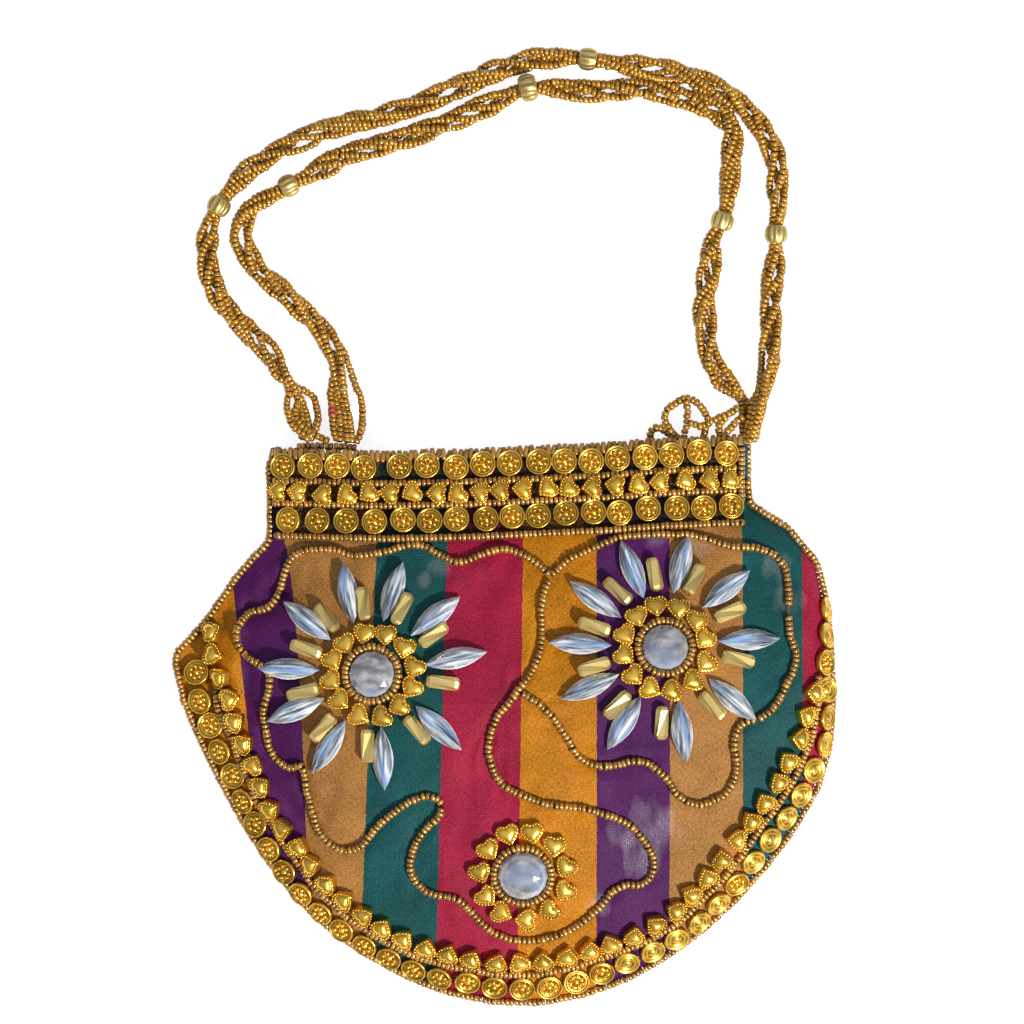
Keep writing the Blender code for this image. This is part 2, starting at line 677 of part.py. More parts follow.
def rim_line(surface, sections, distance, radius, lifted=0.0):
    """Points and normals along the rim, this far up the cloth from the seam."""
    found = [up_section(line, distance, radius) for line in sections]
    line = []
    for k, (point, up) in enumerate(found):
        along = (found[min(k + 1, len(found) - 1)][0] - found[max(k - 1, 0)][0]).normalized()
        normal = along.cross(up).normalized()
        if normal.z < 0 or (abs(normal.z) < 0.05 and normal.dot(point - CENTRE) < 0):
            normal = -normal
        place = seated(surface, frame(point, along, normal), radius, radius)
        line.append((place.translation + normal * lifted, normal))
    return line


def rim_places(surface, sections, distance, pitch, half_length, half_width, turned=False):
    line = rim_line(surface, sections, distance, half_width)
    points = [p for p, _ in line]
    lengths = [0.0]
    for a, b in zip(points, points[1:]):
        lengths.append(lengths[-1] + (b - a).length)
    count = max(1, int(lengths[-1] / pitch))
    places = []
    for k in range(count + 1):
        wanted = lengths[-1] * k / count
        point = at_length(points, lengths, wanted)
        share = min(range(len(points)), key=lambda i: abs(lengths[i] - wanted))
        other = share + (1 if wanted > lengths[share] else -1)
        other = min(max(other, 0), len(points) - 1)
        span = abs(lengths[other] - lengths[share]) or 1
        normal = line[share][1].lerp(line[other][1], abs(wanted - lengths[share]) / span)
        ahead = at_length(points, lengths, min(wanted + pitch / 2, lengths[-1]))
        behind = at_length(points, lengths, max(wanted - pitch / 2, 0))
        along = (behind - ahead) if turned else (ahead - behind)
        place = frame(point - normal * SEAT_GAP, along, normal.normalized())
        places.append(seated(surface, place, half_length, half_width))
    return places


def ring_place(surface, centre, radius, angle, half_length, half_width, gap=SEAT_GAP, lean=0.0):
    """A seat on a circle round a flower's centre, its X pointing outwards."""
    out = Vector((math.cos(angle), math.sin(angle), 0))
    point = drop(surface, *(centre + out * radius).xy)
    normal = slope_normal(surface, point, half_length)
    away = Matrix.Rotation(lean, 4, "Z") @ out
    return seated(surface, frame(point, away, normal), half_length, half_width, gap)


def stone(name, surface, centre, diameter):
    bm = bmesh.new()
    place = ring_place(surface, centre, 0, 0, diameter / 2, diameter / 2)
    circle = [
        (math.cos(2 * math.pi * k / 12) / 2, math.sin(2 * math.pi * k / 12) / 2)
        for k in range(12)
    ]
    levels = ((0, 0.9), (STONE_HEIGHT * 0.45, 1), (STONE_HEIGHT, 0.62))
    verts = domed_shape(bm, circle, diameter, diameter, levels)
    bmesh.ops.transform(bm, matrix=place, verts=list(verts))
    add_mesh(name, bm, material("crystal", roughness=0.05))


def seed_ring(name, surface, centre, radius):
    """A closed ring of seed beads round a stone."""
    place = ring_place(surface, centre, 0, 0, radius, radius)
    bm = bmesh.new()
    start = Matrix.Translation((radius, 0, SEED / 2)) @ Matrix.Rotation(math.pi / 2, 4, "X")
    made = bmesh.ops.create_circle(bm, segments=6, radius=SEED / 2, matrix=start)
    bmesh.ops.spin(
        bm, geom=list({e for v in made["verts"] for e in v.link_edges}), cent=(0, 0, 0),
        axis=(0, 0, 1), angle=2 * math.pi, steps=14, use_merge=True,
    )
    bmesh.ops.transform(bm, matrix=place, verts=bm.verts)
    bmesh.ops.recalc_face_normals(bm, faces=bm.faces)
    add_mesh(name, bm, material("bronze", metallic=0.6, roughness=0.4))


def petal(name, surface, centre, radius, angle):
    """One pointed crystal, seated over the thread at its inner end."""
    gap = SEAT_GAP + SEWING_THREAD + ROW_GAP
    place = ring_place(
        surface, centre, radius + PETAL_LENGTH / 2, angle + PETAL_LEAN / 2, PETAL_LENGTH / 2,
        PETAL_WIDTH / 2, gap, PETAL_LEAN / 2,
    )
    bm = bmesh.new()
    levels = ((0, 0.7), (PETAL_HEIGHT * 0.4, 1), (PETAL_HEIGHT, 0.5))
    verts = domed_shape(bm, PETAL_OUTLINE, PETAL_LENGTH, PETAL_WIDTH, levels)
    bmesh.ops.transform(bm, matrix=place, verts=list(verts))
    add_mesh(name, bm, material("crystal", roughness=0.05))


def tube_beads(name, surface, centre, radius, angles):
    """Cut tube beads round a flower, held by the thread through their inner ends."""
    bm = bmesh.new()
    for degrees in angles:
        place = ring_place(
            surface, centre, radius + TUBE_LENGTH / 2, math.radians(degrees), TUBE_LENGTH / 2,
            TUBE / 2,
        )
        lie = Matrix.Translation((0, 0, TUBE / 2 * math.cos(math.pi / 6)))
        lie = lie @ Matrix.Rotation(math.pi / 2, 4, "Y") @ Matrix.Rotation(math.pi / 6, 4, "Z")
        bmesh.ops.create_cone(
            bm, cap_ends=True, segments=6, radius1=TUBE / 2, radius2=TUBE / 2,
            depth=TUBE_LENGTH, matrix=place @ lie,
        )
    obj = add_mesh(name, bm, material("satin gold", metallic=1, roughness=0.4))
    ring = bmesh.new()
    reach = radius + TUBE / 3
    start = Matrix.Translation((reach, 0, 0)) @ Matrix.Rotation(math.pi / 2, 4, "X")
    made = bmesh.ops.create_circle(ring, segments=4, radius=SEWING_THREAD / 2, matrix=start)
    bmesh.ops.spin(
        ring, geom=list({e for v in made["verts"] for e in v.link_edges}), cent=(0, 0, 0),
        axis=(0, 0, 1), angle=2 * math.pi, steps=20, use_merge=True,
    )
    for vert in ring.verts:
        under = drop(surface, centre.x + vert.co.x, centre.y + vert.co.y)
        rise = vert.co.z + SEAT_GAP + SEWING_THREAD / 2
        vert.co = under + UP * rise
    bmesh.ops.recalc_face_normals(ring, faces=ring.faces)
    thread = add_mesh(name + "_thread", ring, material("thread"))
    thread.hide_render = True
    thread.display_type = "WIRE"
    join = obj.modifiers.new("Thread", "BOOLEAN")
    join.operation = "UNION"
    join.solver = "EXACT"
    join.object = thread


def flower(name, surface, spot, diameter, hearts, petals=(), tubes=()):
    """A stone in a ring of seeds and a ring of hearts, with crystals and tubes on a large one."""
    centre = laid(*spot)
    stone(name + "_stone", surface, centre, diameter)
    ring = diameter / 2 + ROW_GAP + SEED / 2
    seed_ring(name + "_seed_ring", surface, centre, ring)
    heart_ring = ring + SEED / 2 + ROW_GAP + HEART_LENGTH / 2
    places = []
    for k in range(hearts):
        angle = 2 * math.pi * k / hearts
        places.append(
            ring_place(surface, centre, heart_ring, angle, HEART_LENGTH / 2, HEART_WIDTH / 2)
        )
    bead_row(name + "_heart_ring", places, heart_shape, "gold", closed=True)
    outer = heart_ring + HEART_LENGTH / 2 + 2 * ROW_GAP
    for k, degrees in enumerate(petals):
        petal(f"{name}_petal_{k + 1}", surface, centre, outer, math.radians(degrees))
    if tubes:
        tube_beads(name + "_tube_beads", surface, centre, outer + ROW_GAP, tubes)


def strung(point):
    """A point of a strap's route, on this bag."""
    x, y, height = point
    return laid(x, y) + UP * height * TRIM


def strap(name, route, nodes):
    """A bundle of strung beads, as one cord laid along its route."""
    plan = [strung(p) for p in route]
    for _, index, diameter in nodes:
        for point in plan[index - 1:index + 2]:
            point.z = max(point.z, diameter / 2 + FLOOR_GAP)
    line = spline(plan, STRAP_STEP)
    tube(name, line, STRAP, "bronze", sides=8)
    for bead_name, index, diameter in nodes:
        strap_bead(bead_name, line, plan[index], diameter)


def strap_bead(name, line, spot, diameter):
    """A fluted bead that the bundle runs through."""
    k = min(range(len(line) - 1), key=lambda i: ((line[i] + line[i + 1]) / 2 - spot).length)
    way = (line[k + 1] - line[k]).normalized()
    middle = (line[k] + line[k + 1]) / 2
    hole = (STRAP / 2 + STRAP_BEAD_GAP) / math.cos(math.pi / 10)
    half = STRAP_BEAD_LENGTH / 2
    lip = hole + STRAP_BEAD_LIP
    profile = [(-half, hole), (-half, lip), (0, diameter / 2), (half, lip), (half, hole)]
    bm = bmesh.new()
    verts = [bm.verts.new((radius, 0, along)) for along, radius in profile]
    edges = [bm.edges.new((a, b)) for a, b in zip(verts, verts[1:] + verts[:1])]
    bmesh.ops.spin(
        bm, geom=edges, cent=(0, 0, 0), axis=(0, 0, 1), angle=2 * math.pi, steps=10,
        use_merge=True,
    )
    bmesh.ops.recalc_face_normals(bm, faces=bm.faces)
    turn = UP.rotation_difference(way).to_matrix().to_4x4()
    place = Matrix.Translation(middle) @ turn
    bmesh.ops.transform(bm, matrix=place, verts=bm.verts)
    add_mesh(name, bm, material("satin gold", metallic=1, roughness=0.4))


def build_pouch():
    front = striped_panel("front_panel", FRONT_RINGS, front_height, down=False)
    back = striped_panel("back_panel", BACK_RINGS, back_height, down=True)
    bpy.context.view_layer.update()
    strip = band("front_band", front_height, surface_of(front), down=False)
    band("back_band", back_height, surface_of(back), down=True)
    bpy.context.view_layer.update()
    return surface_of(front), surface_of(strip)


def build_band(surface):
    half = DISC / 2
    line = band_line(DISC_ROW_TOP, half + SEED + ROW_GAP)
    places = bead_places(surface, line, DISC + ROW_GAP, half, HALF_DISC)
    bead_row("band_disc_row_top", places, disc_shape, "gold")
    line = band_line(DISC_ROW_BOTTOM, half + SEED + ROW_GAP)
    places = bead_places(surface, line, DISC + ROW_GAP, half, HALF_DISC)
    bead_row("band_disc_row_bottom", places, disc_shape, "gold")
    line = band_line(HEART_ROW, half + SEED)
    places = bead_places(surface, line, HEART_LENGTH + 4 * ROW_GAP, HEART_LENGTH / 2,
                         HEART_WIDTH / 2, turned=True)
    bead_row("band_heart_row", places, heart_shape, "gold")
    rows = (("band_seed_row_upper", SEED_ROW_UPPER), ("band_seed_row_lower", SEED_ROW_LOWER))
    for name, depth in rows:
        plan = evenly(band_line(depth, 2 * SEED), ROW_STEP)
        tube(name, lying_line(surface, plan, SEED / 2), SEED, "bronze")
    bottom = evenly(band_line(SEED_ROW_BOTTOM, SEED / 2), ROW_STEP)
    left = Vector((bottom[0].x, mouth_line(bottom[0].x) - ROW_GAP - SEED, 0))
    right = Vector((bottom[-1].x, mouth_line(bottom[-1].x) - ROW_GAP - SEED, 0))
    plan = evenly([left, bottom[0]], ROW_STEP) + bottom[1:-1] + evenly([bottom[-1], right], ROW_STEP)
    tube("band_seed_border", lying_line(surface, plan, SEED / 2), SEED, "bronze")
    lip = []
    for place in evenly(band_line(-SEED / 2 - SEAT_GAP, 0), ROW_STEP):
        x = place.x
        lip.append(Vector((x, place.y, front_height(x, mouth_line(x)) - CLOTH / 2)))
    tube("band_edging_beads", lip, SEED, "bronze")


def build_rim(surface):
    """The border of beads from the right shoulder round the bottom to the left corner."""
    full = rim_sections(surface, SEED_SPAN)
    seeds = rim_line(surface, full, RIM_SEED_OUTER, SEED / 2, SEED / 2 + RIM_LIFT)
    tube("rim_seed_row_outer", [p for p, _ in seeds], SEED, "bronze")
    border = rim_sections(surface, BORDER_SPAN)
    seeds = rim_line(surface, border, RIM_SEED_INNER, SEED / 2, SEED / 2 + RIM_LIFT)
    tube("rim_seed_row_inner", [p for p, _ in seeds], SEED, "bronze")
    places = rim_places(surface, border, RIM_DISC, DISC + 2.5 * ROW_GAP, DISC / 2, HALF_DISC)
    bead_row("rim_disc_row", places, disc_shape, "gold")
    places = rim_places(surface, border, RIM_HEART, HEART_LENGTH + 9 * ROW_GAP,
                        HEART_LENGTH / 2, HEART_WIDTH / 2)
    bead_row("rim_heart_row", places, heart_shape, "gold")


def build_embroidery(surface):
    flower("flower_left", surface, LEFT_FLOWER, STONE, LARGE_HEARTS, LEFT_PETALS, LEFT_TUBES)
    flower("flower_right", surface, RIGHT_FLOWER, STONE, LARGE_HEARTS, RIGHT_PETALS, RIGHT_TUBES)
    flower("flower_small", surface, SMALL_FLOWER, SMALL_STONE, SMALL_HEARTS)
    scroll("scroll_upper", surface, UPPER_SCROLL)
    scroll("scroll_lower", surface, LOWER_SCROLL)
    scroll("scroll_right", surface, RIGHT_SCROLL)
    scroll("scroll_inner", surface, INNER_SCROLL)


def build_straps():
    beads = [(f"strap_a_bead_{k + 1}", i, STRAP_BEAD) for k, i in enumerate(STRAP_A_BEADS)]
    strap("strap_a", STRAP_A, beads)
    *own, shared = STRAP_B_BEADS
    beads = [(f"strap_b_bead_{k + 1}", i, STRAP_BEAD) for k, i in enumerate(own)]
    beads.append(("strap_shared_bead", shared, SHARED_BEAD))
    strap("strap_b", STRAP_B, beads)
    loop = spline([strung(p) for p in CLOSING_LOOP], LOOP_STEP)
    tube("closing_loop", loop, SEED, "bronze", sides=8)
    strand = spline([strung(p) for p in CLOSING_STRAND], LOOP_STEP)
    tube("closing_strand", strand, SEED, "bronze", sides=8)


def main():
    clear_scene()
    cloth, strip = build_pouch()
    build_rim(cloth)
    build_embroidery(cloth)
    build_band(strip)
    build_straps()


main()
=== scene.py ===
"""The looks of a beaded potli bag that lies on its back, seen from above.

Striped silk, two bead straps, rows of pressed discs and hearts, crystal flowers and couched scrolls
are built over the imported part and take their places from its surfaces. Metres, +Z up.
"""

import json
import logging
import math
import random
from dataclasses import dataclass
from enum import Enum
from typing import Callable, Iterable, Sequence

import bmesh
import bpy
import numpy as np
from mathutils import Matrix, Vector, noise
from mathutils.bvhtree import BVHTree
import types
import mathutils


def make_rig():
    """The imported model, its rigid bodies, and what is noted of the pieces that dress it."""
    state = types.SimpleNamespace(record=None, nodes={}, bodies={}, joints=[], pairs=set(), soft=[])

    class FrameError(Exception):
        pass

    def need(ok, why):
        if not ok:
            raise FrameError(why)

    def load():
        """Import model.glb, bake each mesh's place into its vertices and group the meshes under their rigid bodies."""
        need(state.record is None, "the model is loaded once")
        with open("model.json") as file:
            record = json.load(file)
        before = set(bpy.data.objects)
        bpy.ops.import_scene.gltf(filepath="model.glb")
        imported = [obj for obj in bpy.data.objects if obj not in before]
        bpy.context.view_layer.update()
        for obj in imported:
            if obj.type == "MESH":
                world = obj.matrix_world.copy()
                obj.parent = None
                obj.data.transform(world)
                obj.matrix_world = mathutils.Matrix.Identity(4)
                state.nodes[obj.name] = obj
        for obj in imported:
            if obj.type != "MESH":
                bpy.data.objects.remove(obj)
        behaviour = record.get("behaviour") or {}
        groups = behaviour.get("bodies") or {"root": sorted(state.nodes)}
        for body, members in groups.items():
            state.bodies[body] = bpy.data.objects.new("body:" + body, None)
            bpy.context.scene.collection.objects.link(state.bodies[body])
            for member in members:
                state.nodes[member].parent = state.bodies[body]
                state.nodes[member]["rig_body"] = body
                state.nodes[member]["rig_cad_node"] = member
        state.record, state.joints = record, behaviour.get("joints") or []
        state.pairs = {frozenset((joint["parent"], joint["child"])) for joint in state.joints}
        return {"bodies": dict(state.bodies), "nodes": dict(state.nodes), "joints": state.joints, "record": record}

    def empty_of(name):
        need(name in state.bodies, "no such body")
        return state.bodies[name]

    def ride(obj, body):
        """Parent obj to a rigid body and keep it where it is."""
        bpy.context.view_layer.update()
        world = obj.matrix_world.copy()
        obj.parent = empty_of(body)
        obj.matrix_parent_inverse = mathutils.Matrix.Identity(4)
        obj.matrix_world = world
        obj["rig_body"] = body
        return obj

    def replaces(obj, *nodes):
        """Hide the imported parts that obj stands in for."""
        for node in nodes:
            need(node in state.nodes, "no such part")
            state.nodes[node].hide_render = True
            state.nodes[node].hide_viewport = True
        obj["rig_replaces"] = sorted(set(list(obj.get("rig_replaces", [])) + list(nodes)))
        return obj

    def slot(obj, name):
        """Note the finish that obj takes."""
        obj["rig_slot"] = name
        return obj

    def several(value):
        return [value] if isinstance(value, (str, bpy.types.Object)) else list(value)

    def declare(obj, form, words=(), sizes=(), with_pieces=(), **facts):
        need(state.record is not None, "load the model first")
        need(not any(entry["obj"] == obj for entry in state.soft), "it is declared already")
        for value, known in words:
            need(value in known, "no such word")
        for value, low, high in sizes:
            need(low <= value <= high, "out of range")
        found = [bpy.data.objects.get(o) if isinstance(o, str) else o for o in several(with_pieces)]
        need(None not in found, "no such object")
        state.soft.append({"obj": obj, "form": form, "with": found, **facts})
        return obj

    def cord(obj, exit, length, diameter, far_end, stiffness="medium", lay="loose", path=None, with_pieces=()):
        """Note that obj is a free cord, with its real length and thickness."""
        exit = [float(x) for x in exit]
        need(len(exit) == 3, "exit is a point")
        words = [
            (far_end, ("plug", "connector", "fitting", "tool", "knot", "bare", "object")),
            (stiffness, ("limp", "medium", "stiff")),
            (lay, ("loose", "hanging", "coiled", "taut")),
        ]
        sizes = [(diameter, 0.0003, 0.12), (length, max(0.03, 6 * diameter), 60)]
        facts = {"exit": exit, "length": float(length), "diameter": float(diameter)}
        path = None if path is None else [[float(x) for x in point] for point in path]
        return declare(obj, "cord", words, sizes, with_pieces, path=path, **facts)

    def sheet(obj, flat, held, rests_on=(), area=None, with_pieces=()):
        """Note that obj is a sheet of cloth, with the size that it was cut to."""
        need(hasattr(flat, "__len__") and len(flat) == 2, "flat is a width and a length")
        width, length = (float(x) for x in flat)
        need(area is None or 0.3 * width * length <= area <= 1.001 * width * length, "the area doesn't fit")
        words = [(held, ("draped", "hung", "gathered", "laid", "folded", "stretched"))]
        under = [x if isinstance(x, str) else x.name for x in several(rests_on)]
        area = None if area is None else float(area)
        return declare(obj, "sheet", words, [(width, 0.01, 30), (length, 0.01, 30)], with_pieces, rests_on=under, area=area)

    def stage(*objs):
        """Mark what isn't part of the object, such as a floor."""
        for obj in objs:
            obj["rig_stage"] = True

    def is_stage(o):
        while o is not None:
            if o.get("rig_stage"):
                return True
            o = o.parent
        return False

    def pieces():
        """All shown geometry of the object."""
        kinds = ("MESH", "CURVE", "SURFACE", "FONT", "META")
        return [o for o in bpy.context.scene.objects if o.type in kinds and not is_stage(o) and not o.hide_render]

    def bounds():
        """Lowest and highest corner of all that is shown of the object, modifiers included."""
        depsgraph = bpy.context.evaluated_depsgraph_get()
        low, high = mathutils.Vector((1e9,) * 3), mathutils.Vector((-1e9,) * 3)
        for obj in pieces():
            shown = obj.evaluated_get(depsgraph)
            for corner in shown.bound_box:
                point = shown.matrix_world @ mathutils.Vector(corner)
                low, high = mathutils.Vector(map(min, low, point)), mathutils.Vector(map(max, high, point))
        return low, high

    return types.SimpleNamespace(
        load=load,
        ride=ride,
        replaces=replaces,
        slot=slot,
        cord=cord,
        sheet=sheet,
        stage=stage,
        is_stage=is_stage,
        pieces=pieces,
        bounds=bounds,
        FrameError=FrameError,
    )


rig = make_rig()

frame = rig.load()
START_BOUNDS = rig.bounds()

LOG = logging.getLogger("potli")
MM = 0.001
UP = Vector((0, 0, 1))
SEED_PITCH = 1.42 * MM
STRAP_PITCH = 1.46 * MM
LOOSELY = 1.3

Point = tuple[float, float]
Colour = tuple[float, float, float]
Route = tuple[tuple[float, float, float], ...]
Drive = float | Colour | tuple[float, float, float, float] | bpy.types.NodeSocket


class Slot(Enum):
    """The record's material slots."""

    SILK = "striped_silk"
    BACKING = "band_backing"
    GOLD = "pressed_gold"
    SEEDS = "bronze_seed_beads"
    SATIN = "satin_gold"
    PETAL = "petal_crystal"
    STONE = "round_crystal"


class Side(Enum):
    """The two cloths of the pouch."""

    FRONT = "front"
    BACK = "back"


# ---- Shader trees


class Tree:
    """Adds nodes to one shader tree and links them."""

    def __init__(self, tree: bpy.types.NodeTree) -> None:
        """Takes over a tree and empties it."""
        self.tree = tree
        tree.nodes.clear()

    def node(self, kind: str, values: dict | None = None, **settings) -> bpy.types.Node:
        """Adds a node.

        Args:
            kind: The node's type name.
            values: A value or a socket for each input, by name or number.
            settings: The node's own settings.

        Returns:
            The new node.
        """
        made = self.tree.nodes.new(kind)
        for key, value in settings.items():
            setattr(made, key, value)
        for key, value in (values or {}).items():
            if isinstance(value, bpy.types.NodeSocket):
                self.tree.links.new(value, made.inputs[key])
            else:
                made.inputs[key].default_value = value
        return made

    def group(self, shared: bpy.types.NodeTree, values: dict) -> bpy.types.Node:
        """Adds a shader node group.

        Args:
            shared: The group.
            values: A value or a socket for each input, by name.

        Returns:
            The new node.
        """
        return self.node("ShaderNodeGroup", values, node_tree=shared)

    def maths(self, operation: str, *values: Drive) -> bpy.types.NodeSocket:
        """Adds a maths node."""
        return self.node("ShaderNodeMath", dict(enumerate(values)), operation=operation).outputs[0]

    def blend(self, share: Drive, low: Drive, high: Drive) -> bpy.types.NodeSocket:
        """Mixes two colours.

        Args:
            share: How much of the second colour, a number or a socket.
            low: The first colour.
            high: The second colour.

        Returns:
            The mixed colour.
        """
        return self.node("ShaderNodeMix", {0: share, 6: low, 7: high}, data_type="RGBA").outputs[2]

    def ramp(
        self, value: Drive, stops: Sequence[tuple], interpolation: str = "LINEAR"
    ) -> bpy.types.NodeSocket:
        """Adds a colour ramp.

        Args:
            value: The socket that drives it.
            stops: A position and a colour for each stop.
            interpolation: How it runs between stops.

        Returns:
            The ramp's colour.
        """
        made = self.node("ShaderNodeValToRGB", {0: value})
        ramp = made.color_ramp
        ramp.interpolation = interpolation
        while len(ramp.elements) < len(stops):
            ramp.elements.new(0.5)
        for element, (place, colour) in zip(ramp.elements, stops):
            element.position = place
            element.color = (*colour, 1)
        return made.outputs[0]


def rgba(colour: Colour) -> tuple[float, float, float, float]:
    """Adds full opacity to a colour."""
    return (*colour, 1.0)


def shader_group(
    name: str,
    inputs: dict[str, tuple],
    outputs: dict[str, str],
    fill: Callable[[Tree, bpy.types.Node, bpy.types.Node], None],
) -> bpy.types.NodeTree:
    """Makes a shader node group, or finds it.

    Args:
        name: The group's name.
        inputs: A socket type and a starting value for each input.
        outputs: A socket type for each output.
        fill: Adds its nodes, given the tree and its input and output nodes.

    Returns:
        The group.
    """
    found = bpy.data.node_groups.get(name)
    if found:
        return found
    group = bpy.data.node_groups.new(name, "ShaderNodeTree")
    for key, (kind, value) in inputs.items():
        socket = group.interface.new_socket(key, in_out="INPUT", socket_type=kind)
        socket.default_value = value
    for key, kind in outputs.items():
        group.interface.new_socket(key, in_out="OUTPUT", socket_type=kind)
    tree = Tree(group)
    fill(tree, tree.node("NodeGroupInput"), tree.node("NodeGroupOutput"))
    return group


def fill_bead_tone(tree: Tree, given: bpy.types.Node, out: bpy.types.Node) -> None:
    """A bead's colour: each a little lighter or darker at random, and darker in its grooves and at its ends, which is
    the gold's patina and painted shade.

    Args:
        tree: The group's tree.
        given: Its input node.
        out: Its output node.
    """
    tone = tree.node("ShaderNodeAttribute", attribute_name="tone").outputs["Fac"]
    groove = tree.node("ShaderNodeAttribute", attribute_name="groove").outputs["Fac"]
    spread = tree.maths("MULTIPLY", tree.maths("SUBTRACT", tone, 0.5), given.outputs["Spread"])
    value = tree.maths("ADD", spread, 1.0)
    toned = tree.node("ShaderNodeHueSaturation", {"Value": value, "Color": given.outputs["Colour"]})
    # Painted shade: the groove attribute darkens hollows, bead ends and disc sides towards the groove colour; on gold
    # beads it also stands for patina.
    dark = tree.maths("MULTIPLY", groove, given.outputs["Groove Depth"])
    tree.tree.links.new(
        tree.blend(dark, toned.outputs[0], given.outputs["Patina And Painted Shade Colour"]), out.inputs["Colour"]
    )


def bead_tone() -> bpy.types.NodeTree:
    """The group for each bead's tone, with patina and painted shade in its hollows.

    Returns:
        The group.
    """
    return shader_group(
        "BeadTone",
        {
            "Colour": ("NodeSocketColor", (0.5, 0.3, 0.1, 1)),
            "Patina And Painted Shade Colour": ("NodeSocketColor", (0.1, 0.05, 0.01, 1)),
            "Groove Depth": ("NodeSocketFloat", 0.7),
            "Spread": ("NodeSocketFloat", 0.4),
        },
        {"Colour": "NodeSocketColor"},
        fill_bead_tone,
    )


def fill_weave(tree: Tree, given: bpy.types.Node, out: bpy.types.Node) -> None:
    """The threads of slubbed silk: a height, and a shade that is uneven along the threads.

    Args:
        tree: The group's tree.
        given: Its input node.
        out: Its output node.
    """
    place = given.outputs["Place"]
    pitch = given.outputs["Threads"]
    warp = tree.node(
        "ShaderNodeTexWave", {"Vector": place, "Scale": pitch, "Distortion": 1.2, "Detail": 1.0},
        wave_type="BANDS", bands_direction="X",
    )
    weft = tree.node(
        "ShaderNodeTexWave", {"Vector": place, "Scale": pitch, "Distortion": 1.2, "Detail": 1.0},
        wave_type="BANDS", bands_direction="Y",
    )
    flat = tree.node("ShaderNodeMapping", {"Vector": place, "Scale": (1000, 2600, 1)})
    tall = tree.node("ShaderNodeMapping", {"Vector": place, "Scale": (2600, 1000, 1)})
    slub = tree.node("ShaderNodeTexNoise", {"Vector": flat.outputs[0], "Scale": 1.0, "Detail": 2.0})
    rib = tree.node("ShaderNodeTexNoise", {"Vector": tall.outputs[0], "Scale": 1.0, "Detail": 2.0})
    threads = tree.maths("ADD", warp.outputs["Fac"], weft.outputs["Fac"])
    uneven = tree.maths("ADD", slub.outputs["Fac"], rib.outputs["Fac"])
    height = tree.maths("ADD", tree.maths("MULTIPLY", threads, 0.2), uneven)
    tree.tree.links.new(height, out.inputs["Height"])
    broad = tree.node("ShaderNodeTexNoise", {"Vector": place, "Scale": 70.0, "Detail": 3.0})
    mottle = tree.maths("MULTIPLY_ADD", broad.outputs["Fac"], 0.4, -0.2)
    shade = tree.maths("MULTIPLY_ADD", uneven, 0.62, -0.12)
    tree.tree.links.new(tree.maths("ADD", shade, mottle), out.inputs["Shade"])


def weave() -> bpy.types.NodeTree:
    """The group for woven silk.

    Returns:
        The group.
    """
    return shader_group(
        "Weave",
        {"Place": ("NodeSocketVector", (0, 0, 0)), "Threads": ("NodeSocketFloat", 520.0)},
        {"Height": "NodeSocketFloat", "Shade": "NodeSocketFloat"},
        fill_weave,
    )


# ---- Finishes


@dataclass(frozen=True)
class Finish:
    """A surface finish.

    Attributes:
        name: The material's name.
        slot: The record's slot that it stands for.
    """

    name: str
    slot: Slot

    def material(self) -> bpy.types.Material:
        """Makes the material once.

        Returns:
            The material.
        """
        found = bpy.data.materials.get(self.name)
        if found:
            return found
        made = bpy.data.materials.new(self.name)
        made.use_nodes = True
        tree = Tree(made.node_tree)
        surface = self.surface(tree)
        tree.node("ShaderNodeOutputMaterial", {"Surface": surface})
        return made

    def surface(self, tree: Tree) -> bpy.types.NodeSocket:
        """Adds the finish's nodes."""
        raise NotImplementedError


@dataclass(frozen=True)
class BeadFinish(Finish):
    """A metallic or lustrous bead.

    Attributes:
        colour: Its colour.
        groove: The colour in its grooves and at its ends: painted shade, and on gold the patina too.
        metallic: How metallic it is.
        roughness: How rough it is.
        spread: How much the beads differ.
        coat: The clear coat over it.
        worn: How strongly its face is dented.
    """

    colour: Colour = (0.5, 0.3, 0.1)
    groove: Colour = (0.06, 0.03, 0.005)
    metallic: float = 1.0
    roughness: float = 0.25
    spread: float = 0.4
    coat: float = 0.0
    worn: float = 0.2

    def surface(self, tree: Tree) -> bpy.types.NodeSocket:
        """Adds the bead's nodes.

        Args:
            tree: The material's tree.

        Returns:
            The shader to output.
        """
        # The groove colour is painted shade in the bead's hollows and at its ends, mixed with the gold's patina.
        tone = tree.group(
            bead_tone(),
            {
                "Colour": rgba(self.colour),
                "Patina And Painted Shade Colour": rgba(self.groove),
                "Groove Depth": 0.85,
                "Spread": self.spread,
            },
        )
        place = tree.node("ShaderNodeTexCoord").outputs["Object"]
        speckle = tree.node("ShaderNodeTexNoise", {"Vector": place, "Scale": 1400.0, "Detail": 2.0})
        bump = tree.node(
            "ShaderNodeBump",
            {"Height": speckle.outputs["Fac"], "Strength": self.worn, "Distance": 0.00022},
        )
        return tree.node(
            "ShaderNodeBsdfPrincipled",
            {
                "Base Color": tone.outputs[0],
                "Metallic": self.metallic,
                "Roughness": self.roughness,
                "Coat Weight": self.coat,
                "Coat Roughness": 0.08,
                "Normal": bump.outputs[0],
            },
        ).outputs[0]


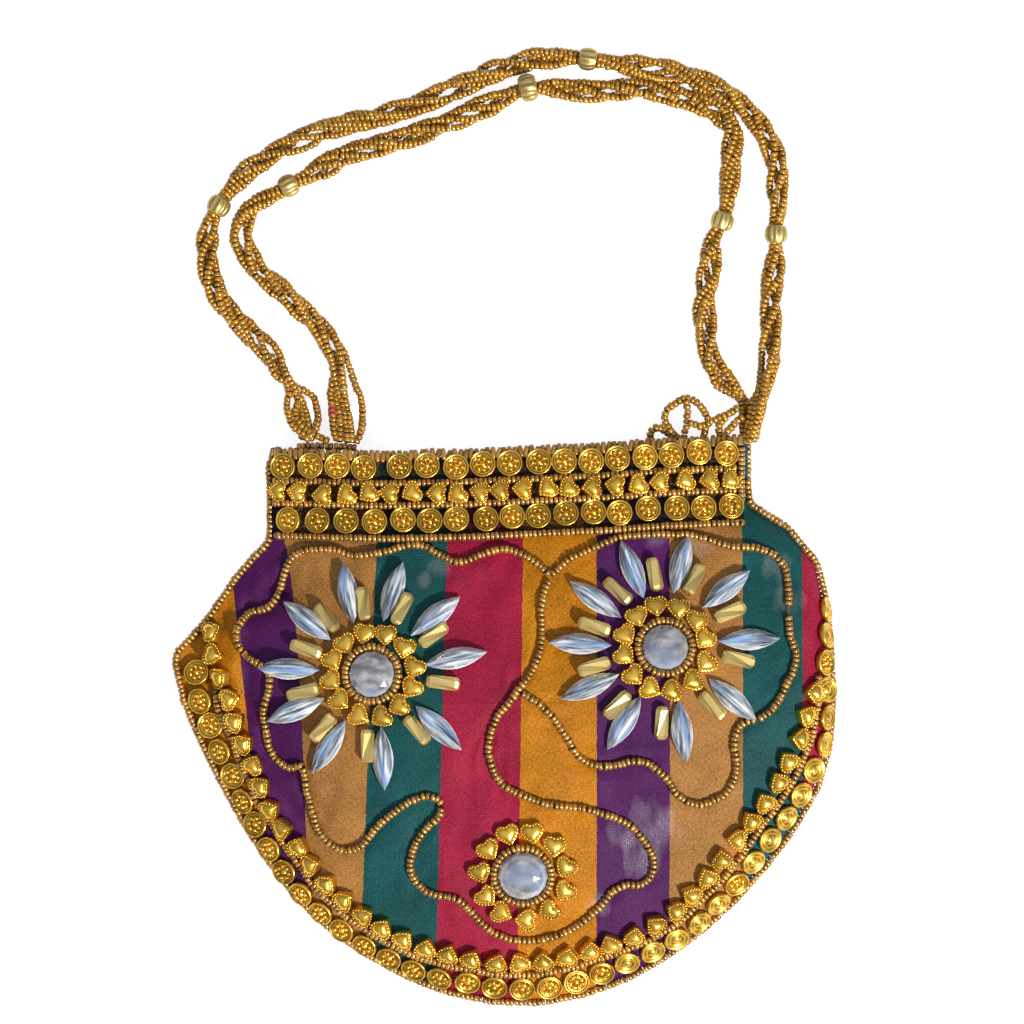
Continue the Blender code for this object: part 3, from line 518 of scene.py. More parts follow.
@dataclass(frozen=True)
class FoilFinish(Finish):
    """The mirror foil behind a crystal, its colour painted with reflections: streaks, a blue sky and pale highlights.

    Attributes:
        colour: The blue of the painted sky reflection.
        dark: Its darkest painted reflection streaks.
        middle: Its dull painted reflection streaks.
        light: Its pale painted reflection streaks.
        white: Its palest, a painted highlight.
        blueness: How strongly it shows the painted sky reflection.
        half: Half the crystal's length and width, if it is pointed, or its radius twice.
        lines: Its painted highlights from its middle to its rim: a pale facet line and a bright rim.
        streaks: How finely its painted reflection streaks run, along and across.
        roughness: How dull it is.
    """

    colour: Colour = (0.20, 0.40, 0.78)
    dark: Colour = (0.07, 0.09, 0.12)
    middle: Colour = (0.22, 0.26, 0.32)
    light: Colour = (0.50, 0.56, 0.64)
    white: Colour = (1.0, 1.0, 1.0)
    blueness: float = 0.8
    half: Point = (9.6 * MM, 3.25 * MM)
    # Painted highlights: a pale line at the facets and a bright rim.
    lines: tuple[tuple[float, Colour], ...] = (
        (0.0, (0, 0, 0)), (0.6, (0, 0, 0)), (0.66, (0.55, 0.55, 0.55)), (0.71, (0.05, 0.05, 0.05)),
        (0.86, (0.1, 0.1, 0.1)), (0.92, (0.95, 0.95, 0.95)),
    )
    streaks: tuple[float, float, float] = (110.0, 1100.0, 1.0)
    roughness: float = 0.2

    def edge(self, tree: Tree, place: bpy.types.NodeSocket) -> bpy.types.NodeSocket:
        """How near its rim each place is.

        Args:
            tree: The material's tree.
            place: The place on one crystal.

        Returns:
            From 0 in the middle to 1 at the rim.
        """
        split = tree.node("ShaderNodeSeparateXYZ", {0: place})
        length, width = self.half
        x = tree.maths("ABSOLUTE", tree.maths("MULTIPLY", split.outputs[0], 1 / length))
        y = tree.maths("ABSOLUTE", tree.maths("MULTIPLY", split.outputs[1], 1 / width))
        if length == width:
            return tree.maths(
                "SQRT", tree.maths("ADD", tree.maths("POWER", x, 2.0), tree.maths("POWER", y, 2.0))
            )
        wide = tree.maths("SUBTRACT", 1.01, tree.maths("POWER", x, 1.9))
        return tree.maths("DIVIDE", y, tree.maths("MAXIMUM", wide, 0.02))

    def pattern(self, tree: Tree) -> bpy.types.NodeSocket:
        """The crystal's painted reflections: streaks, a blue sky, and pale highlights on the facet line and the rim.

        Args:
            tree: The material's tree.

        Returns:
            Their colour.
        """
        place = tree.node("ShaderNodeAttribute", attribute_name="local").outputs["Vector"]
        tone = tree.node("ShaderNodeAttribute", attribute_name="tone").outputs["Fac"]
        apart = tree.node("ShaderNodeCombineXYZ", {2: tree.maths("MULTIPLY", tone, 40.0)}).outputs[0]
        drawn = tree.node("ShaderNodeMapping", {"Vector": place, "Scale": self.streaks}).outputs[0]
        moved = tree.node("ShaderNodeVectorMath", {0: drawn, 1: apart}, operation="ADD").outputs[0]
        fine = tree.node("ShaderNodeTexNoise", {"Vector": moved, "Scale": 1.0, "Detail": 3.0})
        broad = tree.node("ShaderNodeTexNoise", {"Vector": moved, "Scale": 0.35, "Detail": 1.0})
        # Painted reflections: streaks from dark to white.
        pale = tree.ramp(
            fine.outputs["Fac"],
            [(0.36, self.dark), (0.45, self.middle), (0.54, self.light), (0.64, self.white)],
        )
        # Painted reflection of the blue sky, in broad patches.
        blue = tree.node("ShaderNodeMapRange", {0: broad.outputs["Fac"], 1: 0.5, 2: 0.62}).outputs[0]
        centre = tree.blend(tree.maths("MULTIPLY", blue, self.blueness), pale, rgba(self.colour))
        # Painted highlights at the facet line and the rim, in white-blue.
        colour = tree.ramp(self.edge(tree, place), self.lines)
        return tree.blend(colour, centre, rgba((0.92, 0.95, 1.0)))

    def surface(self, tree: Tree) -> bpy.types.NodeSocket:
        """Adds the foil's nodes.

        Args:
            tree: The material's tree.

        Returns:
            The shader to output.
        """
        # The foil's base colour is the painted reflections and highlights.
        return tree.node(
            "ShaderNodeBsdfPrincipled",
            {"Base Color": self.pattern(tree), "Metallic": 0.5, "Roughness": self.roughness},
        ).outputs[0]


@dataclass(frozen=True)
class CrystalFinish(Finish):
    """Clear cut crystal, its faces' base colour painted with the foil's painted reflections and highlights.

    Attributes:
        behind: The foil, whose painted reflections colour the crystal's faces.
        roughness: How worn its facets are.
        clear: How clearly it lets light through.
    """

    behind: FoilFinish
    roughness: float = 0.05
    clear: float = 0.3

    def surface(self, tree: Tree) -> bpy.types.NodeSocket:
        """Adds the crystal's nodes.

        Args:
            tree: The material's tree.

        Returns:
            The shader to output.
        """
        # Its base colour is the painted reflections and highlights, painted onto the crystal's own faces.
        return tree.node(
            "ShaderNodeBsdfPrincipled",
            {
                "Base Color": self.behind.pattern(tree),
                "Roughness": self.roughness,
                "Transmission Weight": self.clear,
                "IOR": 1.55,
                "Coat Weight": 0.6,
                "Coat Roughness": 0.03,
            },
        ).outputs[0]


@dataclass(frozen=True)
class ThreadFinish(Finish):
    """Sewing thread.

    Attributes:
        colour: Its colour.
    """

    colour: Colour = (0.16, 0.09, 0.04)

    def surface(self, tree: Tree) -> bpy.types.NodeSocket:
        """Adds the thread's nodes.

        Args:
            tree: The material's tree.

        Returns:
            The shader to output.
        """
        return tree.node(
            "ShaderNodeBsdfPrincipled", {"Base Color": rgba(self.colour), "Roughness": 0.75}
        ).outputs[0]


@dataclass(frozen=True)
class SilkFinish(Finish):
    """Slubbed silk woven in upright stripes, with dried glue on it.

    Attributes:
        edges: Where each stripe ends, across the bag in millimetres.
        colours: The stripes' colours, repeated from the left.
        lean: How much the stripes lean at the left.
        glue: Spots of dried glue, each x, y and radius in millimetres.
        dimmed: How much darker it is painted than the open cloth: painted shade in the gaps between beads that cover
            it.
    """

    edges: tuple[float, ...] = (-76.2, -59.4, -39.1, -17.7, 5.5, 28.4, 50.1, 72.2, 90.3)
    colours: tuple[Colour, ...] = (
        (0.42, 0.150, 0.0015), (0.062, 0.005, 0.072), (0.31, 0.140, 0.033), (0.003, 0.060, 0.062),
        (0.27, 0.006, 0.032),
    )
    lean: float = 0.04
    glue: Route = ()
    dimmed: float = 0.0

    def surface(self, tree: Tree) -> bpy.types.NodeSocket:
        """Adds the silk's nodes.

        Args:
            tree: The material's tree.

        Returns:
            The shader to output.
        """
        place = tree.node("ShaderNodeTexCoord").outputs["Object"]
        cloth = tree.group(weave(), {"Place": place})
        striped = self.stripes(tree, place)
        # dimmed darkens the tone: painted shade between the band's beads.
        shade = tree.maths("MULTIPLY_ADD", cloth.outputs["Shade"], 2.2, -0.12 - self.dimmed)
        patchy = tree.node("ShaderNodeTexNoise", {"Vector": place, "Scale": 55.0, "Detail": 3.0})
        shade = tree.maths(
            "ADD", shade, tree.maths("MULTIPLY_ADD", patchy.outputs["Fac"], 0.3, -0.15)
        )
        toned = tree.node("ShaderNodeHueSaturation", {"Value": shade, "Color": striped}).outputs[0]
        film = self.glue_film(tree, place)
        coloured = tree.blend(tree.maths("MULTIPLY", film, 0.16), toned, rgba((0.40, 0.39, 0.42)))
        roughness = tree.maths("MULTIPLY_ADD", film, -0.35, 0.62)
        bump = tree.node(
            "ShaderNodeBump",
            {"Height": cloth.outputs["Height"], "Strength": 0.7, "Distance": 0.0002},
        )
        return tree.node(
            "ShaderNodeBsdfPrincipled",
            {
                "Base Color": coloured,
                "Roughness": roughness,
                "Specular IOR Level": 0.2,
                "Normal": bump.outputs[0],
            },
        ).outputs[0]

    def stripes(self, tree: Tree, place: bpy.types.NodeSocket) -> bpy.types.NodeSocket:
        """Colours the stripes by place.

        Args:
            tree: The material's tree.
            place: The place on the object.

        Returns:
            The stripe's colour.
        """
        split = tree.node("ShaderNodeSeparateXYZ", {0: place})
        across, along = split.outputs[0], split.outputs[1]
        share = tree.node(
            "ShaderNodeMapRange",
            {"Value": across, "From Min": -0.039, "From Max": 0.028, "To Min": self.lean, "To Max": 0},
        ).outputs[0]
        edge = tree.node(
            "ShaderNodeMapRange",
            {"Value": across, "From Min": -0.066, "From Max": -0.050, "To Min": -0.15, "To Max": 0},
        ).outputs[0]
        share = tree.maths("ADD", share, edge)
        ragged = tree.node("ShaderNodeTexNoise", {"Vector": place, "Scale": 500.0, "Detail": 1.0})
        wander = tree.maths("MULTIPLY_ADD", ragged.outputs["Fac"], 0.0006, -0.0003)
        upright = tree.maths("SUBTRACT", across, tree.maths("MULTIPLY", along, share))
        upright = tree.maths("ADD", upright, wander)
        position = tree.maths("MULTIPLY_ADD", upright, 1 / (200 * MM), 0.5)
        stops = [(0.0, self.colours[0])]
        for k, edge in enumerate(self.edges):
            stops.append((edge / 200 + 0.5, self.colours[(k + 1) % len(self.colours)]))
        return tree.ramp(position, stops, "CONSTANT")

    def glue_film(self, tree: Tree, place: bpy.types.NodeSocket) -> bpy.types.NodeSocket:
        """A mask of the dried glue's spots, ragged at the edges.

        Args:
            tree: The material's tree.
            place: The place on the object.

        Returns:
            The mask, from 0 to 1.
        """
        slanted = tree.node(
            "ShaderNodeMapping", {"Vector": place, "Rotation": (0, 0, 0.7), "Scale": (260, 90, 1)}
        )
        rough = tree.node("ShaderNodeTexNoise", {"Vector": slanted.outputs[0], "Scale": 1.0, "Detail": 5.0})
        ragged = tree.maths("MULTIPLY_ADD", rough.outputs["Fac"], 2.4, -1.2)
        film: bpy.types.NodeSocket | float = 0.0
        flat = tree.node("ShaderNodeMapping", {"Vector": place, "Scale": (1, 1, 0)}).outputs[0]
        for x, y, radius in self.glue:
            away = tree.node(
                "ShaderNodeVectorMath", {0: flat, 1: (x * MM, y * MM, 0)}, operation="DISTANCE"
            ).outputs["Value"]
            near = tree.maths("SUBTRACT", 1.0, tree.maths("DIVIDE", away, radius * MM))
            spot = tree.maths("MULTIPLY", tree.maths("ADD", near, ragged), 1.5)
            spot = tree.node("ShaderNodeClamp", {0: spot}).outputs[0]
            inside = tree.maths("GREATER_THAN", near, -0.25)
            film = tree.maths("MAXIMUM", film, tree.maths("MULTIPLY", spot, inside))
        if isinstance(film, float):
            return tree.maths("ADD", 0.0, 0.0)
        return film


# Each groove colour below is painted shade in the beads' hollows and at their ends; on the gold and satin beads it
# stands for patina as well.
SEED_FINISH = BeadFinish(
    "SeedBeads", Slot.SEEDS, colour=(0.50, 0.26, 0.062), groove=(0.05, 0.02, 0.005), metallic=0.6,
    roughness=0.3, spread=0.7, coat=0.35,
)
STRAP_FINISH = BeadFinish(
    "StrapBeads", Slot.SEEDS, colour=(0.508, 0.243, 0.0228), groove=(0.06, 0.02, 0.004), metallic=0.45,
    roughness=0.26, spread=0.5, coat=0.5,
)
CRIMSON_FINISH = BeadFinish(
    "CrimsonBeads", Slot.SEEDS, colour=(0.42, 0.008, 0.06), groove=(0.05, 0.001, 0.01), metallic=0.0,
    roughness=0.3, spread=0.3, coat=0.4,
)
GOLD_FINISH = BeadFinish(
    "PressedGold", Slot.GOLD, colour=(0.86, 0.51, 0.075), groove=(0.14, 0.06, 0.006),
    roughness=0.29, spread=0.35, metallic=0.95, worn=0.08,
)
SATIN_FINISH = BeadFinish(
    "SatinGold", Slot.SATIN, colour=(0.78, 0.58, 0.21), groove=(0.14, 0.08, 0.01), roughness=0.36,
    spread=0.3, metallic=0.8, worn=0.1,
)
THREAD_FINISH = ThreadFinish("Thread", Slot.SEEDS)
# The foils' colours are painted reflections: streaks, sky blue and highlights at the facets and rims.
PETAL_FOIL = FoilFinish("PetalFoil", Slot.PETAL)
PETAL_FINISH = CrystalFinish("PetalCrystal", Slot.PETAL, behind=PETAL_FOIL)
STONE_FOIL = FoilFinish(
    "StoneFoil", Slot.STONE, colour=(0.25, 0.33, 0.52), dark=(0.17, 0.17, 0.19), middle=(0.27, 0.26, 0.28),
    light=(0.40, 0.385, 0.40), white=(0.55, 0.54, 0.56), blueness=0.55, half=(7 * MM, 7 * MM),
    streaks=(230.0, 330.0, 1.0), roughness=0.35,
    lines=((0.0, (0, 0, 0)), (0.8, (0.0, 0.0, 0.0)), (0.94, (0.3, 0.3, 0.3)), (1.0, (0.1, 0.1, 0.1))),
)
STONE_FINISH = CrystalFinish("RoundCrystal", Slot.STONE, behind=STONE_FOIL, roughness=0.1)
GLUE_SPOTS = (
    (44, -34, 10), (43, -41, 7), (-18, 46, 4), (-23, 42, 3), (60, 52.5, 4), (83, 46, 5),
    (87, 36, 5), (46.5, 54, 3), (29.4, -55.5, 3.5),
)
SILK_FINISH = SilkFinish("StripedSilk", Slot.SILK, glue=GLUE_SPOTS)
# The band's silk is painted darker, as painted shade in the gaps between its beads.
BAND_FINISH = SilkFinish("BandSilk", Slot.BACKING, dimmed=0.9)


# ---- Shapes that are stamped many times


@dataclass
class Shape:
    """A small shape to stamp.

    Attributes:
        points: Its points, one row each.
        corners: The points of every face, end to end.
        sizes: How many corners each face has.
        grooves: How dark each point is painted in a groove, from 0 to 1: painted shade, and patina on gold.
        smooth: Whether it is shaded smooth.
        finishes: Which of the cluster's finishes each face takes.
    """

    points: np.ndarray
    corners: np.ndarray
    sizes: np.ndarray
    grooves: np.ndarray
    smooth: bool
    finishes: np.ndarray

    @classmethod
    def of(cls, bm: bmesh.types.BMesh, smooth: bool, groove: Callable[[Vector], float] | None = None,
           finish: Callable[[bmesh.types.BMFace], int] | None = None) -> "Shape":
        """Reads a shape from a bmesh, and frees it.

        Args:
            bm: The bmesh.
            smooth: Whether it is shaded smooth.
            groove: Gives how dark a point is painted in a groove: painted shade, and patina on gold.
            finish: Gives which finish a face takes.

        Returns:
            The shape.
        """
        bm.normal_update()
        bm.verts.index_update()
        points = np.array([v.co[:] for v in bm.verts])
        corners = np.array([v.index for f in bm.faces for v in f.verts])
        sizes = np.array([len(f.verts) for f in bm.faces])
        grooves = np.array([groove(v.co) if groove else 0.0 for v in bm.verts])
        finishes = np.array([finish(f) if finish else 0 for f in bm.faces])
        bm.free()
        return cls(points, corners, sizes, grooves, smooth, finishes)


class Cluster:
    """Many small shapes gathered into one mesh."""

    def __init__(self, name: str, *finishes: Finish) -> None:
        """Starts an empty cluster.

        Args:
            name: The piece's name, which also seeds its small differences.
            finishes: Its finishes.
        """
        self.name = name
        self.finishes = finishes
        self.chance = random.Random(name)
        self.points: list[np.ndarray] = []
        self.corners: list[np.ndarray] = []
        self.sizes: list[np.ndarray] = []
        self.tones: list[np.ndarray] = []
        self.grooves: list[np.ndarray] = []
        self.locals: list[np.ndarray] = []
        self.smooth: list[np.ndarray] = []
        self.slots: list[np.ndarray] = []
        self.count = 0

    def stamp(self, shape: Shape, place: Matrix, finish: int = 0) -> None:
        """Adds one copy of a shape.

        Args:
            shape: The shape.
            place: Where it goes.
            finish: Added to the shape's own finish numbers.
        """
        turn = np.array(place)
        count = len(shape.points)
        self.points.append(shape.points @ turn[:3, :3].T + turn[:3, 3])
        self.corners.append(shape.corners + self.count)
        self.sizes.append(shape.sizes)
        self.tones.append(np.full(count, self.chance.random()))
        self.grooves.append(shape.grooves)
        self.locals.append(shape.points)
        self.smooth.append(np.full(len(shape.sizes), shape.smooth))
        self.slots.append(shape.finishes + finish)
        self.count += count

    def build(self, *nodes: str) -> bpy.types.Object:
        """Makes the piece.

        Args:
            nodes: The part's nodes that it stands for.

        Returns:
            The piece.
        """
        mesh = bpy.data.meshes.new(self.name)
        sizes = np.concatenate(self.sizes)
        corners = np.concatenate(self.corners)
        mesh.vertices.add(self.count)
        mesh.vertices.foreach_set("co", np.concatenate(self.points).ravel())
        mesh.loops.add(len(corners))
        mesh.polygons.add(len(sizes))
        mesh.polygons.foreach_set("loop_start", np.concatenate([[0], np.cumsum(sizes)[:-1]]))
        mesh.polygons.foreach_set("vertices", corners)
        mesh.polygons.foreach_set("material_index", np.concatenate(self.slots))
        mesh.polygons.foreach_set("use_smooth", np.concatenate(self.smooth))
        # The groove attribute carries the painted shade of the hollows and bead ends, with the gold's patina.
        for key, values in (("tone", self.tones), ("groove", self.grooves)):
            layer = mesh.attributes.new(key, "FLOAT", "POINT")
            layer.data.foreach_set("value", np.concatenate(values))
        layer = mesh.attributes.new("local", "FLOAT_VECTOR", "POINT")
        layer.data.foreach_set("vector", np.concatenate(self.locals).ravel())
        mesh.update(calc_edges=True)
        mesh.validate()
        return finished(self.name, mesh, self.finishes, nodes)


def linked(name: str, data: bpy.types.ID) -> bpy.types.Object:
    """Makes an object of some data and links it to the scene.

    Args:
        name: The object's name.
        data: Its mesh, camera or light.

    Returns:
        The object.
    """
    obj = bpy.data.objects.new(name, data)
    bpy.context.scene.collection.objects.link(obj)
    return obj


def finished(
    name: str, mesh: bpy.types.Mesh, finishes: Iterable[Finish], nodes: Sequence[str] = ()
) -> bpy.types.Object:
    """Makes a mesh into a piece of the bag.

    Args:
        name: The piece's name.
        mesh: Its mesh.
        finishes: Its finishes.
        nodes: The part's nodes that it stands for.

    Returns:
        The piece.
    """
    finishes = list(finishes)
    for each in finishes:
        mesh.materials.append(each.material())
    obj = linked(name, mesh)
    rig.ride(obj, "root")
    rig.slot(obj, finishes[0].slot.value)
    if nodes:
        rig.replaces(obj, *nodes)
    return obj


def spun(profile: Sequence[Point], steps: int, closed: bool = False) -> bmesh.types.BMesh:
    """Spins a profile of along and radius round the X axis.

    Args:
        profile: The profile's points.
        steps: How many steps the spin takes.
        closed: Whether the profile joins up with itself.

    Returns:
        The spun shape.
    """
    bm = bmesh.new()
    verts = [bm.verts.new((along, 0, radius)) for along, radius in profile]
    pairs = list(zip(verts, verts[1:]))
    if closed:
        pairs.append((verts[-1], verts[0]))
    edges = [bm.edges.new(pair) for pair in pairs]
    bmesh.ops.spin(
        bm, geom=verts + edges, cent=(0, 0, 0), axis=(1, 0, 0), angle=2 * math.pi, steps=steps,
        use_merge=True,
    )
    bmesh.ops.remove_doubles(bm, verts=bm.verts, dist=1e-7)
    bmesh.ops.recalc_face_normals(bm, faces=bm.faces)
    return bm


@dataclass(frozen=True)
class SeedBead:
    """A seed bead, its hole along X.

    Attributes:
        diameter: Across it.
        length: Along the hole.
    """

    diameter: float = 2.4 * MM
    length: float = 1.32 * MM

    def shape(self) -> Shape:
        """Builds the bead.

        Returns:
            Its shape.
        """
        r, h = self.diameter / 2, self.length / 2
        profile = [(-h, 0.34 * r), (-h, 0.76 * r), (-h * 0.55, 0.98 * r), (h * 0.55, 0.98 * r),
                   (h, 0.76 * r), (h, 0.34 * r)]
        bm = spun(profile, 9, closed=True)
        # The ends are marked to be painted darker: painted shade where each bead meets the next.
        return Shape.of(bm, True, lambda co: max(0.0, abs(co.x) / h - 0.9) * 8)


STRAP_SEED = SeedBead(diameter=2.4 * MM, length=1.4 * MM)


@dataclass(frozen=True)
class Disc:
    """A pressed disc bead, lying flat on its base, facing +Z.

    Attributes:
        diameter: Across it.
        height: From its base to the top of its boss.
        dotted: Whether dots ring its boss, or else plain rings do.
    """

    diameter: float = 7.9 * MM
    height: float = 2.0 * MM
    dotted: bool = True

    def shape(self) -> Shape:
        """Builds the disc.

        Returns:
            Its shape.
        """
        r, h = self.diameter / 2, self.height
        if self.dotted:
            profile = [(0, 0.0), (0, 0.95 * r), (0.3 * h, r), (0.7 * h, r), (0.88 * h, 0.96 * r),
                       (0.9 * h, 0.89 * r), (0.68 * h, 0.84 * r), (0.68 * h, 0.8 * r), (0.86 * h, 0.74 * r),
                       (0.66 * h, 0.68 * r), (0.66 * h, 0.22 * r), (0.84 * h, 0.19 * r), (h, 0.0)]
        else:
            profile = [(0, 0.0), (0, 0.93 * r), (0.3 * h, r), (0.66 * h, r), (0.82 * h, 0.95 * r),
                       (0.85 * h, 0.86 * r), (0.68 * h, 0.78 * r), (0.62 * h, 0.70 * r),
                       (0.80 * h, 0.63 * r), (0.84 * h, 0.54 * r), (0.64 * h, 0.46 * r),
                       (0.64 * h, 0.38 * r), (0.86 * h, 0.3 * r), (h, 0.14 * r), (h, 0.0)]
        bm = spun(profile, 28)
        bmesh.ops.rotate(bm, verts=bm.verts, matrix=Matrix.Rotation(-math.pi / 2, 3, "Y"))
        for vert in bm.verts:
            if 0.2 * h < vert.co.z < 0.7 * h and vert.co.xy.length > 0.97 * r:
                angle = math.atan2(vert.co.y, vert.co.x)
                vert.co.xy *= 1 + 0.025 * math.cos(14 * angle)
        if self.dotted:
            for k in range(7):
                angle = 2 * math.pi * (k + 0.3) / 7
                spot = Matrix.Translation(
                    (0.47 * r * math.cos(angle), 0.47 * r * math.sin(angle), 0.72 * h)
                )
                bmesh.ops.create_uvsphere(bm, u_segments=8, v_segments=6, radius=0.165 * r, matrix=spot)
        low = 0.7 * h if self.dotted else 0.66 * h

        def groove(co: Vector) -> float:
            """Darker between the rim and the boss, and low on the side: the gold's patina and painted shade.

            Args:
                co: The point.

            Returns:
                How dark it is painted, from 0 to 1.
            """
            across = co.xy.length / r
            if across > 0.97:
                return 0.35
            return (1.0 if across > 0.74 else 0.6) if co.z < low and across < 0.86 else 0.0

        return Shape.of(bm, True, groove)


@dataclass(frozen=True)
class Heart:
    """A puffed heart bead with a grained rim, its point towards +X, facing +Z.

    Attributes:
        length: From the lobes to the point.
        width: Across the lobes.
        height: From its base to its top.
    """

    length: float = 6.9 * MM
    width: float = 7.0 * MM
    height: float = 3.0 * MM

    def outline(self, size: float, count: int) -> list[Point]:
        """Points round the heart.

        Args:
            size: The heart's share of its full size.
            count: How many points.

        Returns:
            The points.
        """
        points = []
        for k in range(count):
            t = 2 * math.pi * k / count
            across = math.sin(t) ** 3 * 0.6 + math.sin(t) * 0.4
            along = (13 * math.cos(t) - 5 * math.cos(2 * t) - 2 * math.cos(3 * t) - math.cos(4 * t)) / 16
            along = along * 0.6 + (math.cos(t) * 0.86 - 0.14) * 0.4
            points.append((-(along + 0.12) * self.length / 1.84 * size, across * self.width / 2 * size))
        return points

    def shape(self) -> Shape:
        """Builds the heart.

        Returns:
            Its shape.
        """
        bm = bmesh.new()
        h = self.height
        count = 26
        levels = [(0, 0.94), (0.1 * h, 0.98), (0.64 * h, 0.98), (0.7 * h, 0.92), (0.66 * h, 0.78),
                  (0.80 * h, 0.70), (0.93 * h, 0.48), (h, 0.22)]
        loops = []
        for height, size in levels:
            ribs = 0.035 if 0 < height < 0.65 * h else 0
            loop = []
            for k, (x, y) in enumerate(self.outline(size, count)):
                grow = 1 + ribs * (-1) ** k
                loop.append(bm.verts.new((x * grow, y * grow, height)))
            loops.append(loop)
        bm.faces.new(reversed(loops[0]))
        for low, high in zip(loops, loops[1:]):
            for k in range(count):
                n = (k + 1) % count
                bm.faces.new((low[k], low[n], high[n], high[k]))
        bm.faces.new(loops[-1])
        bmesh.ops.recalc_face_normals(bm, faces=bm.faces)
        grains = self.outline(0.87, 60)
        walk = Line([Vector((x, y, 0)) for x, y in grains + grains[:1]])
        for along in walk.stops(0.95 * MM):
            spot = walk.at(along) + UP * 0.7 * h
            bmesh.ops.create_icosphere(
                bm, subdivisions=1, radius=0.42 * MM, matrix=Matrix.Translation(spot)
            )
        # The crease under the top is marked to be painted darker: the gold's patina and painted shade.
        return Shape.of(bm, True, lambda co: 0.9 if abs(co.z - 0.66 * h) < 0.01 * h else 0.0)


@dataclass(frozen=True)
class Navette:
    """A pointed crystal, its length along X, facing +Z, with foil behind.

    Attributes:
        length: From point to point.
        width: At the middle.
        height: From the foil to the table.
    """

    length: float = 19.2 * MM
    width: float = 6.5 * MM
    height: float = 3.2 * MM

    def ring(self, size: float, wide: float, height: float, shares: Sequence[float]) -> list[Vector]:
        """Points round a pointed oval.

        Args:
            size: Its length as a share of the crystal's.
            wide: Its width as a share of the crystal's.
            height: Its height as a share of the crystal's.
            shares: How far along from point to point, from -1 to 1.

        Returns:
            The points.
        """
        found = []
        for share in shares:
            x = share * size * self.length / 2
            y = (1 - abs(share) ** 1.9) * wide * self.width / 2
            found += [Vector((x, y, height * self.height)), Vector((x, -y, height * self.height))]
        return found

    def shape(self) -> Shape:
        """Builds the crystal as the hull of its rings of corners.

        Returns:
            Its shape.
        """
        points = self.ring(0.97, 0.94, 0.0, (-1, -0.62, -0.3, 0, 0.3, 0.62, 1))
        points += self.ring(1.0, 1.0, 0.3, (-1, -0.75, -0.5, -0.22, 0.0, 0.22, 0.5, 0.75, 1))
        points += self.ring(0.8, 0.66, 0.8, (-0.9, -0.36, 0.36, 0.9))
        points += self.ring(0.68, 0.36, 1.0, (-1, -0.45, 0, 0.45, 1))
        return hull_shape(points, 0.02 * self.height)


@dataclass(frozen=True)
class RoundStone:
    """A round cut crystal, facing +Z, with foil behind.

    Attributes:
        diameter: Across it.
        height: From the foil to the table.
        facets: How many facets go round it.
    """

    diameter: float = 14 * MM
    height: float = 4.4 * MM
    facets: int = 14

    def shape(self) -> Shape:
        """Builds the stone as the hull of its rings of corners.

        Returns:
            Its shape.
        """
        points = []
        levels = (
            (0, 0.92, 0), (0.34, 1.0, 0), (0.62, 0.9, 0.5), (0.86, 0.7, 0), (0.97, 0.46, 0.5), (1, 0.3, 0),
        )
        for height, size, shift in levels:
            for k in range(self.facets):
                angle = 2 * math.pi * (k + shift) / self.facets
                reach = self.diameter / 2 * size
                points.append(
                    Vector((reach * math.cos(angle), reach * math.sin(angle), height * self.height))
                )
        return hull_shape(points, 0.02 * self.height)


def hull_shape(points: Sequence[Vector], base: float) -> Shape:
    """A cut stone through these corners, with foil on the faces that look down.

    Args:
        points: Its corners.
        base: Corners no higher than this are the base.

    Returns:
        Its shape.
    """
    bm = bmesh.new()
    verts = [bm.verts.new(p) for p in points]
    bmesh.ops.remove_doubles(bm, verts=verts, dist=1e-6)
    made = bmesh.ops.convex_hull(bm, input=bm.verts[:])
    spare = [v for v in made["geom_interior"] if isinstance(v, bmesh.types.BMVert)]
    spare += [v for v in made["geom_unused"] if isinstance(v, bmesh.types.BMVert)]
    bmesh.ops.delete(bm, geom=list(set(spare)), context="VERTS")
    bmesh.ops.dissolve_limit(bm, angle_limit=math.radians(2), verts=bm.verts, edges=bm.edges)
    bmesh.ops.recalc_face_normals(bm, faces=bm.faces)
    return Shape.of(bm, False, finish=lambda f: int(f.normal.z < -0.5 and f.calc_center_median().z < base))


@dataclass(frozen=True)
class TubeBead:
    """A six-sided tube bead, its hole along X, lying on one side with its base at z 0.

    Attributes:
        length: Along the hole.
        diameter: Across its corners.
    """

    length: float = 10.2 * MM
    diameter: float = 4.1 * MM

    def shape(self) -> Shape:
        """Builds the bead.

        Returns:
            Its shape.
        """
        r, h = self.diameter / 2, self.length / 2
        profile = [(-h * 0.9, 0.32 * r), (-h, 0.36 * r), (-h, 0.56 * r), (-h * 0.93, 0.8 * r),
                   (-h * 0.76, r), (h * 0.76, r), (h * 0.93, 0.8 * r), (h, 0.56 * r), (h, 0.36 * r),
                   (h * 0.9, 0.32 * r)]
        bm = spun(profile, 6, closed=True)
        for vert in bm.verts:
            twist = Matrix.Rotation(math.radians(30 + 16 * vert.co.x / h), 3, "X")
            vert.co = twist @ vert.co
        bmesh.ops.translate(bm, vec=(0, 0, 0.9 * r), verts=bm.verts)
        # The ends are marked to be painted darker: painted shade where the thread goes in, and patina.
        return Shape.of(bm, False, lambda co: 0.7 if abs(co.x) > 0.97 * h else 0.0)


